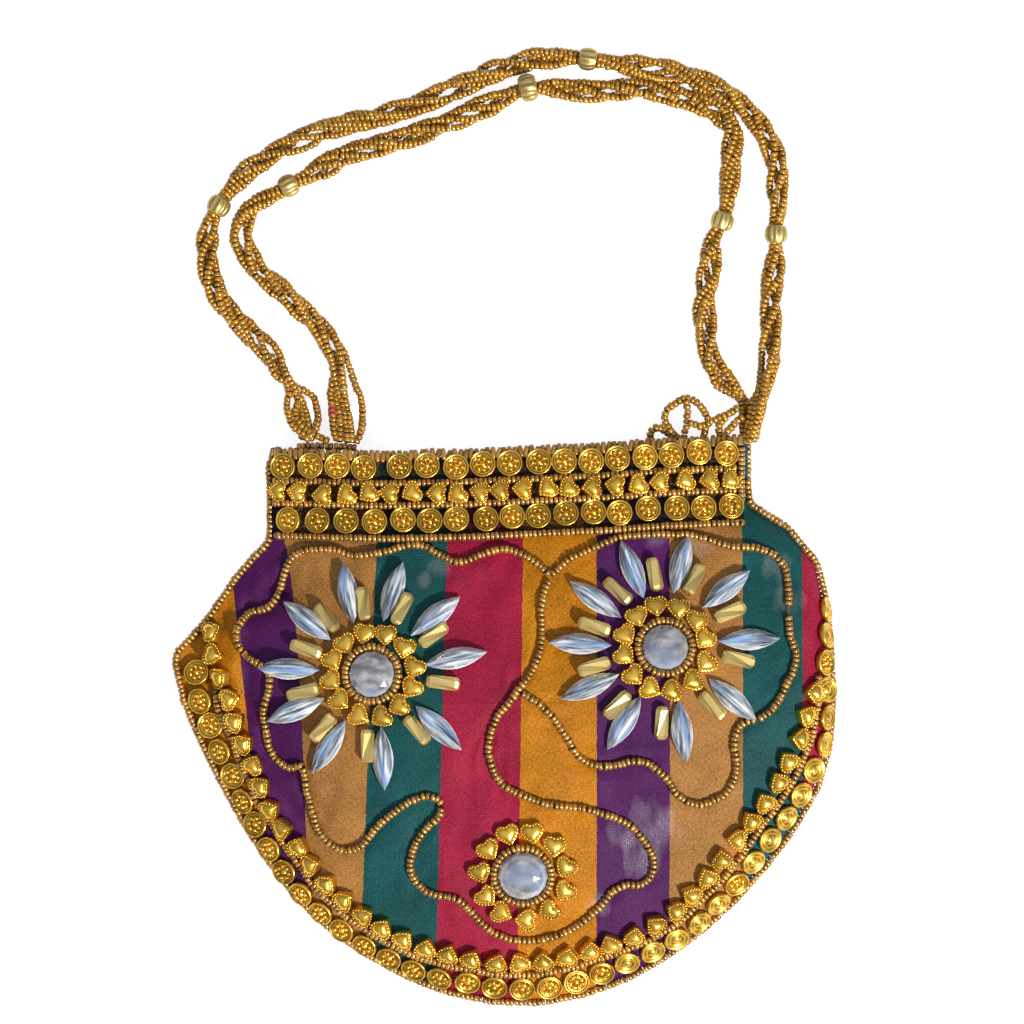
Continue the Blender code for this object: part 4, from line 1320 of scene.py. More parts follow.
@dataclass(frozen=True)
class FlutedBead:
    """A fluted bead that a strap runs through, its hole along X.

    Attributes:
        diameter: Across it.
        length: Along the hole.
        flutes: How many flutes go round it.
    """

    diameter: float = 7.0 * MM
    length: float = 5.2 * MM
    flutes: int = 12

    def shape(self) -> Shape:
        """Builds the bead.

        Returns:
            Its shape.
        """
        r, h = self.diameter / 2, self.length / 2
        hole = 0.62 * r
        profile = [(-h, hole), (-h, 0.74 * r), (-0.86 * h, 0.78 * r)]
        profile += [(h * t, r * math.sqrt(1 - 0.42 * t * t)) for t in (-0.74, -0.4, 0, 0.4, 0.74)]
        profile += [(0.86 * h, 0.78 * r), (h, 0.74 * r), (h, hole)]
        bm = spun(profile, self.flutes * 4, closed=True)
        for vert in bm.verts:
            across = math.hypot(vert.co.y, vert.co.z)
            if across > 0.8 * r:
                angle = math.atan2(vert.co.z, vert.co.y)
                grow = 1 - 0.13 * (1 - math.cos(self.flutes * angle)) / 2
                vert.co.y *= grow
                vert.co.z *= grow
        flutes = self.flutes

        def groove(co: Vector) -> float:
            """Darker between the flutes and at the ends: the gold's patina and painted shade."""
            angle = math.atan2(co.z, co.y)
            return 0.8 * (1 - math.cos(flutes * angle)) / 2 if abs(co.x) < 0.8 * h else 0.3

        return Shape.of(bm, True, groove)


# ---- Lines and grounds


class Line:
    """A line through points, measured along its length."""

    def __init__(self, points: Sequence[Vector]) -> None:
        """Measures the line.

        Args:
            points: Its points.
        """
        self.points = np.array([p[:] for p in points])
        steps = np.linalg.norm(np.diff(self.points, axis=0), axis=1)
        self.along = np.concatenate([[0.0], np.cumsum(steps)])

    @classmethod
    def smooth(cls, points: Sequence[Vector], parts: int = 10) -> "Line":
        """A smooth curve through points.

        Args:
            points: The points.
            parts: How many steps go between two of them.

        Returns:
            The line.
        """
        ends = [points[0] * 2 - points[1], *points, points[-1] * 2 - points[-2]]
        fine = [points[0].copy()]
        for a, b, c, d in zip(ends, ends[1:], ends[2:], ends[3:]):
            for k in range(1, parts + 1):
                t = k / parts
                fine.append(
                    0.5 * (2 * b + (c - a) * t + (2 * a - 5 * b + 4 * c - d) * t * t
                           + (3 * b - a - 3 * c + d) * t ** 3)
                )
        return cls(fine)

    @property
    def length(self) -> float:
        """The line's length."""
        return float(self.along[-1])

    def at(self, distance: float) -> Vector:
        """A point on the line."""
        return Vector([float(np.interp(distance, self.along, self.points[:, k])) for k in range(3)])

    def nearest(self, spot: Vector) -> float:
        """Finds how far along the line the point nearest a spot is."""
        return float(self.along[np.argmin(np.linalg.norm(self.points - np.array(spot), axis=1))])

    def way(self, distance: float, reach: float = 0.6 * MM) -> Vector:
        """The line's direction."""
        return (self.at(distance + reach) - self.at(distance - reach)).normalized()

    def stops(self, pitch: float, inset: float = 0.0) -> list[float]:
        """Even stops along the line.

        Args:
            pitch: How far apart, at most about.
            inset: How far the first and last are from the ends.

        Returns:
            How far along each is.
        """
        span = self.length - 2 * inset
        count = max(1, round(span / pitch))
        return [inset + span * (k + 0.5) / count for k in range(count)]


def along_x(way: Vector) -> Matrix:
    """The turn that brings X to a direction."""
    return Vector((1, 0, 0)).rotation_difference(way).to_matrix().to_4x4()


def place_of(point: Vector, along: Vector, normal: Vector) -> Matrix:
    """A place with X along a row and Z off the surface.

    Args:
        point: Where it is.
        along: The row's direction.
        normal: The way off the surface.

    Returns:
        The place.
    """
    side = normal.cross(along).normalized()
    forward = side.cross(normal).normalized()
    return Matrix.Translation(point) @ Matrix((forward, side, normal)).transposed().to_4x4()


class Ground:
    """A surface to set beads on."""

    def __init__(self, *meshes: tuple[Sequence, Sequence]) -> None:
        """Gathers faces.

        Args:
            meshes: The points and faces of each mesh.
        """
        points: list = []
        faces: list = []
        for more_points, more_faces in meshes:
            start = len(points)
            points += [Vector(p) for p in more_points]
            faces += [[start + k for k in face] for face in more_faces]
        self.tree = BVHTree.FromPolygons(points, faces)

    @classmethod
    def of(cls, *objects: bpy.types.Object) -> "Ground":
        """The ground that objects make.

        Args:
            objects: The objects.

        Returns:
            The ground.
        """
        return cls(*[
            ([v.co for v in o.data.vertices], [list(p.vertices) for p in o.data.polygons])
            for o in objects
        ])

    def drop(self, x: float, y: float) -> Vector:
        """The point below a place."""
        hit = self.tree.ray_cast(Vector((x, y, 0.1)), -UP)[0]
        return hit if hit is not None else Vector((x, y, 0))

    def lie(self, x: float, y: float, spread: float) -> Vector:
        """The way off the surface, over a small footprint.

        Args:
            x: Across.
            y: Along.
            spread: Half the footprint.

        Returns:
            The direction, of length 1.
        """
        right, left = self.drop(x + spread, y), self.drop(x - spread, y)
        far, near = self.drop(x, y + spread), self.drop(x, y - spread)
        return (right - left).cross(far - near).normalized()

    def seat(self, place: Matrix, half_length: float, half_width: float, gap: float = 0.0) -> Matrix:
        """Lifts a place until a base of this size clears the surface.

        Args:
            place: The place.
            half_length: Half the base's length.
            half_width: Half its width.
            gap: How far clear.

        Returns:
            The lifted place.
        """
        normal = place.col[2].to_3d()
        lift = -1.0
        for u, v in (
            (0, 0), (1, 0), (-1, 0), (0, 1), (0, -1), (0.7, 0.7), (-0.7, 0.7), (0.7, -0.7), (-0.7, -0.7),
        ):
            base = place @ Vector((u * half_length, v * half_width, 0))
            hit, _, _, away = self.tree.ray_cast(base + normal * 12 * MM, -normal, 24 * MM)
            if hit is not None:
                lift = max(lift, 12 * MM - away)
        return Matrix.Translation(normal * (max(lift, -1 * MM) + gap)) @ place


def strung(
    cluster: Cluster, line: Line, shape: Shape, pitch: float, loose: float = 1.0, inset: float = 0.0
) -> None:
    """Strings beads along a line.

    Args:
        cluster: Where they go.
        line: The line through their middles.
        shape: The bead.
        pitch: How far apart they are.
        loose: How unevenly they lie.
        inset: How far the first is from the end.
    """
    chance = cluster.chance
    for stop in line.stops(pitch, inset):
        way = line.way(stop)
        tilt = Vector((chance.gauss(0, 0.07), chance.gauss(0, 0.07), chance.gauss(0, 0.07))) * loose
        turn = along_x((way + tilt).normalized())
        shift = Vector((chance.gauss(0, 0.05), chance.gauss(0, 0.05), 0)) * MM * loose
        size = 1 + chance.uniform(-0.07, 0.05) * loose
        place = Matrix.Translation(line.at(stop) + shift) @ turn
        place = place @ Matrix.Rotation(chance.uniform(0, math.pi), 4, "X") @ Matrix.Scale(size, 4)
        cluster.stamp(shape, place)


def thread_tube(
    cluster: Cluster, line: Line, diameter: float, finish: int, step: float = 1.2 * MM
) -> None:
    """Lays a thin thread along a line.

    Args:
        cluster: Where it goes.
        line: The line.
        diameter: The thread's.
        finish: Which of the cluster's finishes it takes.
        step: How far apart its rings are.
    """
    count = max(2, round(line.length / step) + 1)
    sides = 5
    bm = bmesh.new()
    rings = []
    for k in range(count):
        along = line.length * k / (count - 1)
        way = line.way(along)
        turn = UP.rotation_difference(way).to_matrix().to_4x4()
        made = bmesh.ops.create_circle(
            bm, segments=sides, radius=diameter / 2, matrix=Matrix.Translation(line.at(along)) @ turn
        )
        rings.append(made["verts"])
    for low, high in zip(rings, rings[1:]):
        edges = {e for v in low for e in v.link_edges if e.other_vert(v) in low}
        edges |= {e for v in high for e in v.link_edges if e.other_vert(v) in high}
        bmesh.ops.bridge_loops(bm, edges=list(edges))
    bmesh.ops.holes_fill(bm, edges=[e for e in bm.edges if e.is_boundary])
    bmesh.ops.recalc_face_normals(bm, faces=bm.faces)
    cluster.stamp(Shape.of(bm, True), Matrix.Identity(4), finish)


# ---- The pouch


class PouchCloth:
    """One cloth of the pouch, smooth and puckered, laid over the part's own."""

    DIRECTIONS = 288
    ROWS = 60
    STATIONS = (0.0, 0.42, 0.72, 0.88, 0.96, 0.99, 0.9994)
    THICKNESS = 0.7 * MM
    SEAM = 5.0 * MM

    def __init__(self, side: Side) -> None:
        """Reads the cloth's form from the part.

        Args:
            side: Which cloth it is.
        """
        self.side = side
        self.node = f"{side.value}_panel"
        self.centre = Vector((0, 5 * MM, 0))
        self.angles = np.linspace(-math.pi, math.pi, self.DIRECTIONS, endpoint=False)
        self.couched = np.full((1, 2), 900.0)
        if side is Side.FRONT:
            scrolls = (UPPER_SCROLL, LOWER_SCROLL, RIGHT_SCROLL, INNER_SCROLL)
            lines = [Line.smooth([Vector((*p, 0)) for p in route], 3).points for route in scrolls]
            self.couched = np.concatenate(lines)[:, :2]
        self.reach = self.reaches()
        self.grid = self.laid()

    def reaches(self) -> np.ndarray:
        """How far the cloth's edge lies from the middle, in each direction.

        Returns:
            The distances.
        """
        mesh = frame["nodes"][self.node].data
        points = np.array([v.co[:2] for v in mesh.vertices]) - np.array(self.centre[:2])
        ends = np.array([e.vertices[:] for e in mesh.edges])
        a, b = points[ends[:, 0]], points[ends[:, 1]]
        found = []
        for angle in self.angles:
            way = np.array([math.cos(angle), math.sin(angle)])
            side_a = way[0] * a[:, 1] - way[1] * a[:, 0]
            side_b = way[0] * b[:, 1] - way[1] * b[:, 0]
            crossed = side_a * side_b <= 0
            share = side_a[crossed] / (side_a[crossed] - side_b[crossed] + 1e-15)
            hits = a[crossed] + (b[crossed] - a[crossed]) * share[:, None]
            found.append((hits @ way).max())
        return np.array(found)

    def laid(self) -> np.ndarray:
        """The cloth's outer face, row by row from the middle to the edge.

        Returns:
            Points by row and direction.
        """
        ground = Ground.of(frame["nodes"][self.node])
        down = -1 if self.side is Side.FRONT else 1
        phi = np.linspace(0, math.pi / 2, self.ROWS + 1)
        stations = [math.asin(min(s, 1.0)) for s in self.STATIONS[:-1]] + [math.pi / 2]
        heights = np.zeros((self.ROWS + 1, self.DIRECTIONS))
        for k, (angle, reach) in enumerate(zip(self.angles, self.reach)):
            way = Vector((math.cos(angle), math.sin(angle), 0))
            column = []
            for share in self.STATIONS:
                start = self.centre + way * reach * share - UP * down * 0.1
                hit = ground.tree.ray_cast(start, UP * down)[0]
                column.append(hit.z if hit is not None else 6 * MM)
            heights[:, k] = np.interp(phi, stations, column)
        for _ in range(6):
            around = (np.roll(heights, 1, 1) + np.roll(heights, -1, 1)) / 2
            heights = heights * 0.5 + around * 0.5
            inner = heights.copy()
            inner[1:-1] = heights[1:-1] * 0.5 + (heights[:-2] + heights[2:]) * 0.25
            inner[0] = heights[1].mean()
            heights = inner
        shares = np.sin(phi)[:, None]
        x = np.cos(self.angles)[None, :] * self.reach[None, :] * shares + self.centre.x
        y = np.sin(self.angles)[None, :] * self.reach[None, :] * shares + self.centre.y
        rim = self.SEAM - down * (self.THICKNESS + 0.02 * MM)
        closing = np.where(y[-1] < 50 * MM, rim - heights[-1], 0.0)
        for row, share in ((-1, 1.0), (-2, 0.8), (-3, 0.5), (-4, 0.25), (-5, 0.1)):
            heights[row] += closing * share
        grid = np.stack([x, y, heights], axis=2)
        if self.side is Side.FRONT:
            for share, row in zip(shares[:, 0], grid):
                fade = smoothstep((1 - share) / 0.09)
                for point in row:
                    point[2] += self.puckers(point[0] / MM, point[1] / MM) * fade * MM
        return grid

    def puckers(self, x: float, y: float) -> float:
        """How far the silk's folds and puckers stand out, in millimetres.

        Args:
            x: Across, in millimetres.
            y: Along, in millimetres.

        Returns:
            The height.
        """
        open_cloth = 1 - smoothstep((y - 44) / 10)
        broad = noise.noise(Vector((x / 22, y / 28, 3.1))) * 1.5
        fine = noise.noise(Vector((x / 8, y / 10, 7.7))) * 0.8
        left = 1 - smoothstep((x + 66) / 22)
        fine += noise.noise(Vector(((x + y) / 7, (y - x) / 15, 1.3))) * 2.2 * left
        crease_x = -76.5 + 0.035 * (y - 20)
        strip = smoothstep((y + 14) / 14) * (1 - smoothstep((y - 44) / 8))
        ridge = 1.3 * math.exp(-(((x - crease_x + 3.2) / 2.2) ** 2))
        crease = -1.0 * math.exp(-(((x - crease_x - 0.6) / 1.0) ** 2))
        near = float(np.min(np.hypot(self.couched[:, 0] - x, self.couched[:, 1] - y)))
        gather = 0.9 * noise.noise(Vector((x / 3.2, y / 3.2, 4.4))) * math.exp(-((near / 7) ** 2))
        gather -= 0.5 * math.exp(-((near / 2.2) ** 2))
        return open_cloth * (broad + fine + gather) + strip * (ridge + crease)

    def faces(self) -> list[list[int]]:
        """The faces of the outer face of the cloth.

        Returns:
            Each face's points, by number.
        """
        n = self.DIRECTIONS
        made = []
        for row in range(1, self.ROWS):
            for k in range(n):
                following = (k + 1) % n
                made.append(
                    [row * n + k, (row + 1) * n + k, (row + 1) * n + following, row * n + following]
                )
        for k in range(n):
            made.append([0, n + k, n + (k + 1) % n])
        if self.side is Side.BACK:
            made = [list(reversed(face)) for face in made]
        return made

    def ground(self) -> Ground:
        """The cloth's outer face, to set beads on."""
        return Ground((self.grid.reshape(-1, 3), self.faces()))

    def build(self) -> bpy.types.Object:
        """Makes the cloth.

        Returns:
            The piece.
        """
        bm = bmesh.new()
        verts = [bm.verts.new(p) for p in self.grid.reshape(-1, 3)]
        for face in self.faces():
            bm.faces.new([verts[k] for k in face])
        bmesh.ops.delete(bm, geom=[v for v in bm.verts if not v.link_faces], context="VERTS")
        for face in bm.faces:
            face.smooth = True
        bmesh.ops.solidify(bm, geom=bm.faces[:], thickness=self.THICKNESS)
        bmesh.ops.recalc_face_normals(bm, faces=bm.faces)
        mesh = bpy.data.meshes.new(f"{self.side.value}_cloth")
        bm.to_mesh(mesh)
        bm.free()
        obj = finished(f"{self.side.value}_cloth", mesh, [SILK_FINISH], [self.node])
        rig.sheet(obj, flat=(0.212, 0.184), held="stretched", rests_on=["root"], area=0.0285)
        return obj


def smoothstep(t: float) -> float:
    """Eases from 0 to 1."""
    t = min(max(t, 0.0), 1.0)
    return t * t * (3 - 2 * t)


# ---- The band round the mouth


@dataclass
class Band:
    """The stiff bead band across the mouth.

    Attributes:
        ground: The surface that its beads lie on.
        lip: The line of the lip, in millimetres.
        left: Where the band starts, in millimetres.
        right: Where it ends, in millimetres.
    """

    ground: Ground
    lip: tuple[Point, ...] = (
        (-69.6, 79.5), (-36, 78.5), (-11, 79), (4, 79.7), (30, 80.9), (50, 82.4), (74.4, 83.4)
    )
    left: float = -69.0
    right: float = 74.4

    UPPER_DISCS = (-64.8, -56.7, -48.7, -40.8, -30.0, -21.9, -13.2, -5.1, 3.0, 11.7, 19.2, 27.3, 35.1,
                   43.2, 51.3, 59.4, 67.5)
    LOWER_DISCS = (-63.0, -54.3, -45.9, -37.5, -29.1, -21.0, -12.9, -4.2, 3.6, 11.4, 19.8, 27.9, 35.7,
                   44.1, 52.8, 60.9, 69.0)

    HEARTS = (-66.2, -60.2, -53.1, -46, -39.5, -32.7, -26.2, -19.2, -12.7, -6.2, -0.2, 6.8, 14, 20.3,
              27.2, 34.7, 41, 47.5, 54.9, 62.6, 68.6)

    def lip_y(self, x: float) -> float:
        """How far along the lip lies."""
        xs, ys = zip(*self.lip)
        return float(np.interp(x, xs, ys))

    def row(self, depth: float, left: float, right: float, lift: float = 0.0) -> Line:
        """A line along the band.

        Args:
            depth: How far below the lip, in millimetres.
            left: Where it starts, in millimetres.
            right: Where it ends, in millimetres.
            lift: How far off the band, in metres.

        Returns:
            The line.
        """
        points = []
        for x in np.linspace(left, right, 60):
            y = self.lip_y(x) - depth
            points.append(self.ground.drop(x * MM, y * MM) + UP * lift)
        return Line(points)

    def discs(self, name: str, node: str, places: Sequence[float], depth: float) -> None:
        """Sets a row of discs.

        Args:
            name: The piece's name.
            node: The part's node that it stands for.
            places: Where each disc is across the band, in millimetres.
            depth: How far below the lip, in millimetres.
        """
        row = Cluster(name, GOLD_FINISH)
        shape = Disc().shape()
        for x in places:
            y = self.lip_y(x) - depth + row.chance.uniform(-0.35, 0.35)
            point = self.ground.drop(x * MM, y * MM)
            inside = min(y, self.lip_y(x) - 4.2)
            normal = self.ground.lie(x * MM, inside * MM, 3 * MM)
            lean = Vector((row.chance.gauss(0, 0.05), row.chance.gauss(0, 0.05), 0))
            place = place_of(point, Vector((1, 0.02, 0)), (normal + lean).normalized())
            place = self.ground.seat(place, 3.7 * MM, 3.7 * MM, 0.05 * MM)
            row.stamp(shape, place @ Matrix.Rotation(row.chance.uniform(0, math.pi), 4, "Z"))
        row.build(node)

    def hearts(self) -> None:
        """Sets the row of hearts, tipped a little by chance, pointing to the left."""
        row = Cluster("band_hearts", GOLD_FINISH)
        shape = Heart(height=3.4 * MM).shape()
        for x in self.HEARTS:
            y = self.lip_y(x) - 11.0 + row.chance.uniform(-0.35, 0.35)
            point = self.ground.drop(x * MM, y * MM)
            inside = min(max(x, self.left + 4.2), self.right - 4.2)
            normal = self.ground.lie(inside * MM, point.y, 2.5 * MM)
            along = Vector((-1, row.chance.uniform(-0.9, 0.35), 0))
            tilted = (
                normal + Vector((row.chance.uniform(-0.1, 0.22), row.chance.uniform(-0.2, 0.12), 0))
            ).normalized()
            place = self.ground.seat(place_of(point, along, tilted), 2.4 * MM, 2.4 * MM)
            row.stamp(shape, place)
        row.build("band_heart_row")

    def seeds(self, name: str, node: str, depth: float) -> None:
        """Strings a row of seed beads along the band.

        Args:
            name: The piece's name.
            node: The part's node that it stands for.
            depth: How far below the lip, in millimetres.
        """
        row = Cluster(name, SEED_FINISH)
        line = self.row(depth, self.left + 0.8, self.right - 3.5, 1.1 * MM)
        strung(row, line, SeedBead().shape(), SEED_PITCH)
        row.build(node)

    def border(self) -> None:
        """Strings the seed beads along the band's foot and up its two ends, doubled at the right."""
        rim = Cluster("band_border_beads", SEED_FINISH)
        bead = SeedBead().shape()
        strung(rim, self.row(24.1, self.left, self.right, 1.1 * MM), bead, SEED_PITCH)
        for x, top, foot in (
            (self.left - 0.1, 1.5, 23), (self.right + 0.3, 0.5, 23), (self.right - 2.0, 1.5, 18),
        ):
            points = []
            for depth in np.linspace(top, foot, 14):
                y = self.lip_y(x) - depth
                points.append(self.ground.drop(x * MM, y * MM) + UP * 1.1 * MM)
            low = max(p.z for p in points) - 2.5 * MM
            for p in points:
                p.z = max(p.z, low)
            strung(rim, Line(points), bead, SEED_PITCH)
        rim.build("band_seed_border")

    def edging(self) -> None:
        """Stands the barrel beads across the lip, side by side."""
        rim = Cluster("band_edging_barrels", SEED_FINISH)
        barrel = SeedBead(diameter=1.75 * MM, length=3.6 * MM).shape()
        line = self.row(1.0, self.left + 0.2, self.right)
        for stop in line.stops(1.66 * MM):
            point = line.at(stop) + Vector((0, 1.5, 0.35)) * MM
            point += Vector((0, rim.chance.gauss(0, 0.16), rim.chance.gauss(0, 0.1))) * MM
            across = Vector((rim.chance.gauss(0, 0.12), 1, -0.35)).normalized()
            turn = along_x(across)
            rim.stamp(barrel, Matrix.Translation(point) @ turn)
        base = Line.smooth([Vector(p) * MM for p in STRAP_BASE])
        strung(rim, base, SeedBead().shape(), SEED_PITCH)
        rim.build("band_edging_beads")

    def build(self) -> None:
        """Builds all the band's beads."""
        for node in ("front_band", "back_band"):
            piece = frame["nodes"][node]
            piece.data.materials.clear()
            piece.data.materials.append(BAND_FINISH.material())
        self.edging()
        self.discs("band_discs_upper", "band_disc_row_top", self.UPPER_DISCS, 2.9)
        self.seeds("band_seeds_upper", "band_seed_row_upper", 7.6)
        self.hearts()
        self.seeds("band_seeds_lower", "band_seed_row_lower", 14.3)
        self.discs("band_discs_lower", "band_disc_row_bottom", self.LOWER_DISCS, 19.1)
        self.border()


# ---- The border round the rim


class Rim:
    """The rows of beads that run round the rim, laid by their distance up the cloth."""

    def __init__(self, cloth: PouchCloth, ground: Ground) -> None:
        """Measures the cloth up from its edge, in each direction.

        Args:
            cloth: The front cloth.
            ground: Its surface.
        """
        self.cloth = cloth
        self.ground = ground
        grid = cloth.grid[::-1]
        steps = np.linalg.norm(np.diff(grid, axis=0), axis=2)
        self.grid = grid
        self.up = np.concatenate([np.zeros((1, steps.shape[1])), np.cumsum(steps, axis=0)])
        edge = grid[0]
        tangent = np.roll(edge, -2, 0) - np.roll(edge, 2, 0)
        outward = edge[:, :2] - np.array(cloth.centre[:2])
        cross = np.abs(tangent[:, 0] * outward[:, 1] - tangent[:, 1] * outward[:, 0])
        square = cross / (np.linalg.norm(tangent[:, :2], axis=1) * np.linalg.norm(outward, axis=1))
        self.oblique = np.clip(square, 0.55, 1.0)

    def point(self, angle: float, distance: float) -> Vector:
        """A point up the cloth from the rim.

        Args:
            angle: Its direction from the middle, in radians.
            distance: How far up from the rim.

        Returns:
            The point.
        """
        n = self.cloth.DIRECTIONS
        where = (angle + math.pi) / (2 * math.pi) * n
        low = int(math.floor(where))
        share = where - low
        found = np.zeros(3)
        for k, weight in ((low % n, 1 - share), ((low + 1) % n, share)):
            along = distance / self.oblique[k]
            spot = np.array([np.interp(along, self.up[:, k], self.grid[:, k, c]) for c in range(3)])
            found += weight * spot
        return Vector(found)

    def line(self, start: float, end: float, route: Sequence[Point]) -> Line:
        """A line round the rim.

        Args:
            start: Its first direction from the middle, in degrees.
            end: Its last, in degrees.
            route: Directions in degrees, and how far up the cloth it runs there in millimetres.

        Returns:
            The line.
        """
        count = int(abs(end - start) * 1.2) + 2
        degrees, ups = zip(*route)
        return Line([
            self.point(math.radians(a), float(np.interp(a, degrees, ups)) * MM)
            for a in np.linspace(start, end, count)
        ])

    def normal(self, point: Vector) -> Vector:
        """The way off the cloth near a point.

        Args:
            point: The point.

        Returns:
            The direction, of length 1.
        """
        total = Vector()
        for shift in ((0, 0, 0), (2, 0, 0), (-2, 0, 0), (0, 2, 0), (0, -2, 0)):
            hit = self.ground.tree.find_nearest(point + Vector(shift) * MM)
            if hit[1] is not None:
                total += hit[1]
        return total.normalized()

    def beads(
        self, name: str, node: str, shapes: Sequence[Shape], line: Line, count: int, half: float,
        lean: float,
    ) -> None:
        """Sets a row of flat beads round the rim.

        Args:
            name: The piece's name.
            node: The part's node that it stands for.
            shapes: The bead early on the row, and the bead late on it.
            line: The row's line on the cloth.
            count: How many beads.
            half: Half a bead's length.
            lean: How far each is turned by chance, in radians.
        """
        row = Cluster(name, GOLD_FINISH)
        for k in range(count):
            stop = line.length * k / (count - 1)
            point = line.at(stop)
            normal = self.normal(point)
            tipped = normal + Vector([row.chance.gauss(0, 0.07) for _ in range(3)])
            along = line.way(stop, 3 * MM)
            place = place_of(point, along, tipped.normalized())
            place = self.ground.seat(place, half, half, 0.05 * MM)
            turn = Matrix.Rotation(math.pi / 2 + row.chance.gauss(0, lean), 4, "Z")
            late = k / count > 0.56 and row.chance.random() < 0.8
            row.stamp(shapes[1 if late else 0], place @ turn)
        row.build(node)

    def seeds(self, name: str, nodes: Sequence[str], lines: Sequence[Line]) -> None:
        """Strings seed beads on lines that lie on the cloth.

        Args:
            name: The piece's name.
            nodes: The part's nodes that it stands for.
            lines: The lines.
        """
        row = Cluster(name, SEED_FINISH)
        bead = SeedBead().shape()
        for line in lines:
            lifted = []
            for stop in line.stops(3 * MM):
                point = line.at(stop)
                lifted.append(point + self.normal(point) * 1.05 * MM)
            strung(row, Line.smooth(lifted, 4), bead, 1.36 * MM)
        row.build(*nodes)

    def build(self) -> None:
        """Builds all the rim's beads."""
        plain, ringed = Disc().shape(), Disc(dotted=False).shape()
        heart = Heart(height=4.3 * MM).shape()
        self.seeds("rim_seeds_outer", ["rim_seed_row_outer"], [self.line(170.5, 365, SEAM_ROUTE)])
        discs = self.line(174.5, 376, DISC_ROUTE)
        hearts = self.line(166.5, 362, HEART_ROUTE)
        degrees = [d for d, _ in DISC_ROUTE]
        between = np.interp(degrees, *zip(*DISC_ROUTE)) + np.interp(degrees, *zip(*HEART_ROUTE))
        self.seeds(
            "rim_seeds_inner", ["rim_seed_row_inner"],
            [self.line(174, 366, [(d, up / 2 + 0.4) for d, up in zip(degrees, between)])],
        )
        self.beads("rim_discs", "rim_disc_row", (plain, ringed), discs, 39, 3.6 * MM, 1.5)
        self.beads("rim_hearts", "rim_heart_row", (heart, heart), hearts, 40, 2.6 * MM, 0.35)
        shoulders = Cluster("shoulder_edge_beads", SEED_FINISH)
        bead = SeedBead().shape()
        for span in ((131, 172), (3, 43)):
            line = self.line(*span, SEAM_ROUTE)
            points = [line.at(s) + self.normal(line.at(s)) * 1.0 * MM for s in line.stops(3 * MM)]
            strung(shoulders, Line.smooth(points, 4), bead, SEED_PITCH)
        shoulders.build()


SEAM_ROUTE = ((-180, 1.4), (400, 1.4))
DISC_ROUTE = (
    (174.5, 7.2), (184, 6), (195, 6), (206, 4.8), (217, 3.6), (240, 3.9), (252, 5), (264, 7.5),
    (281, 6.5), (297, 7.8), (309, 5.5), (319, 7), (330, 9.8), (345, 9.3), (355, 7.3), (365, 9),
    (370, 8), (376, 3.8),
)
HEART_ROUTE = (
    (166.5, 6), (170, 11.5), (173.5, 16.5), (181, 15.8), (190, 14.6), (202, 12.7), (222, 13.2),
    (245, 12.8), (256, 14.6), (267, 16), (294, 15.8), (309, 14.4), (319, 16.5), (330, 18.5),
    (347, 18.8), (357, 16.5), (362, 14), (376, 12),
)


# ---- Flowers


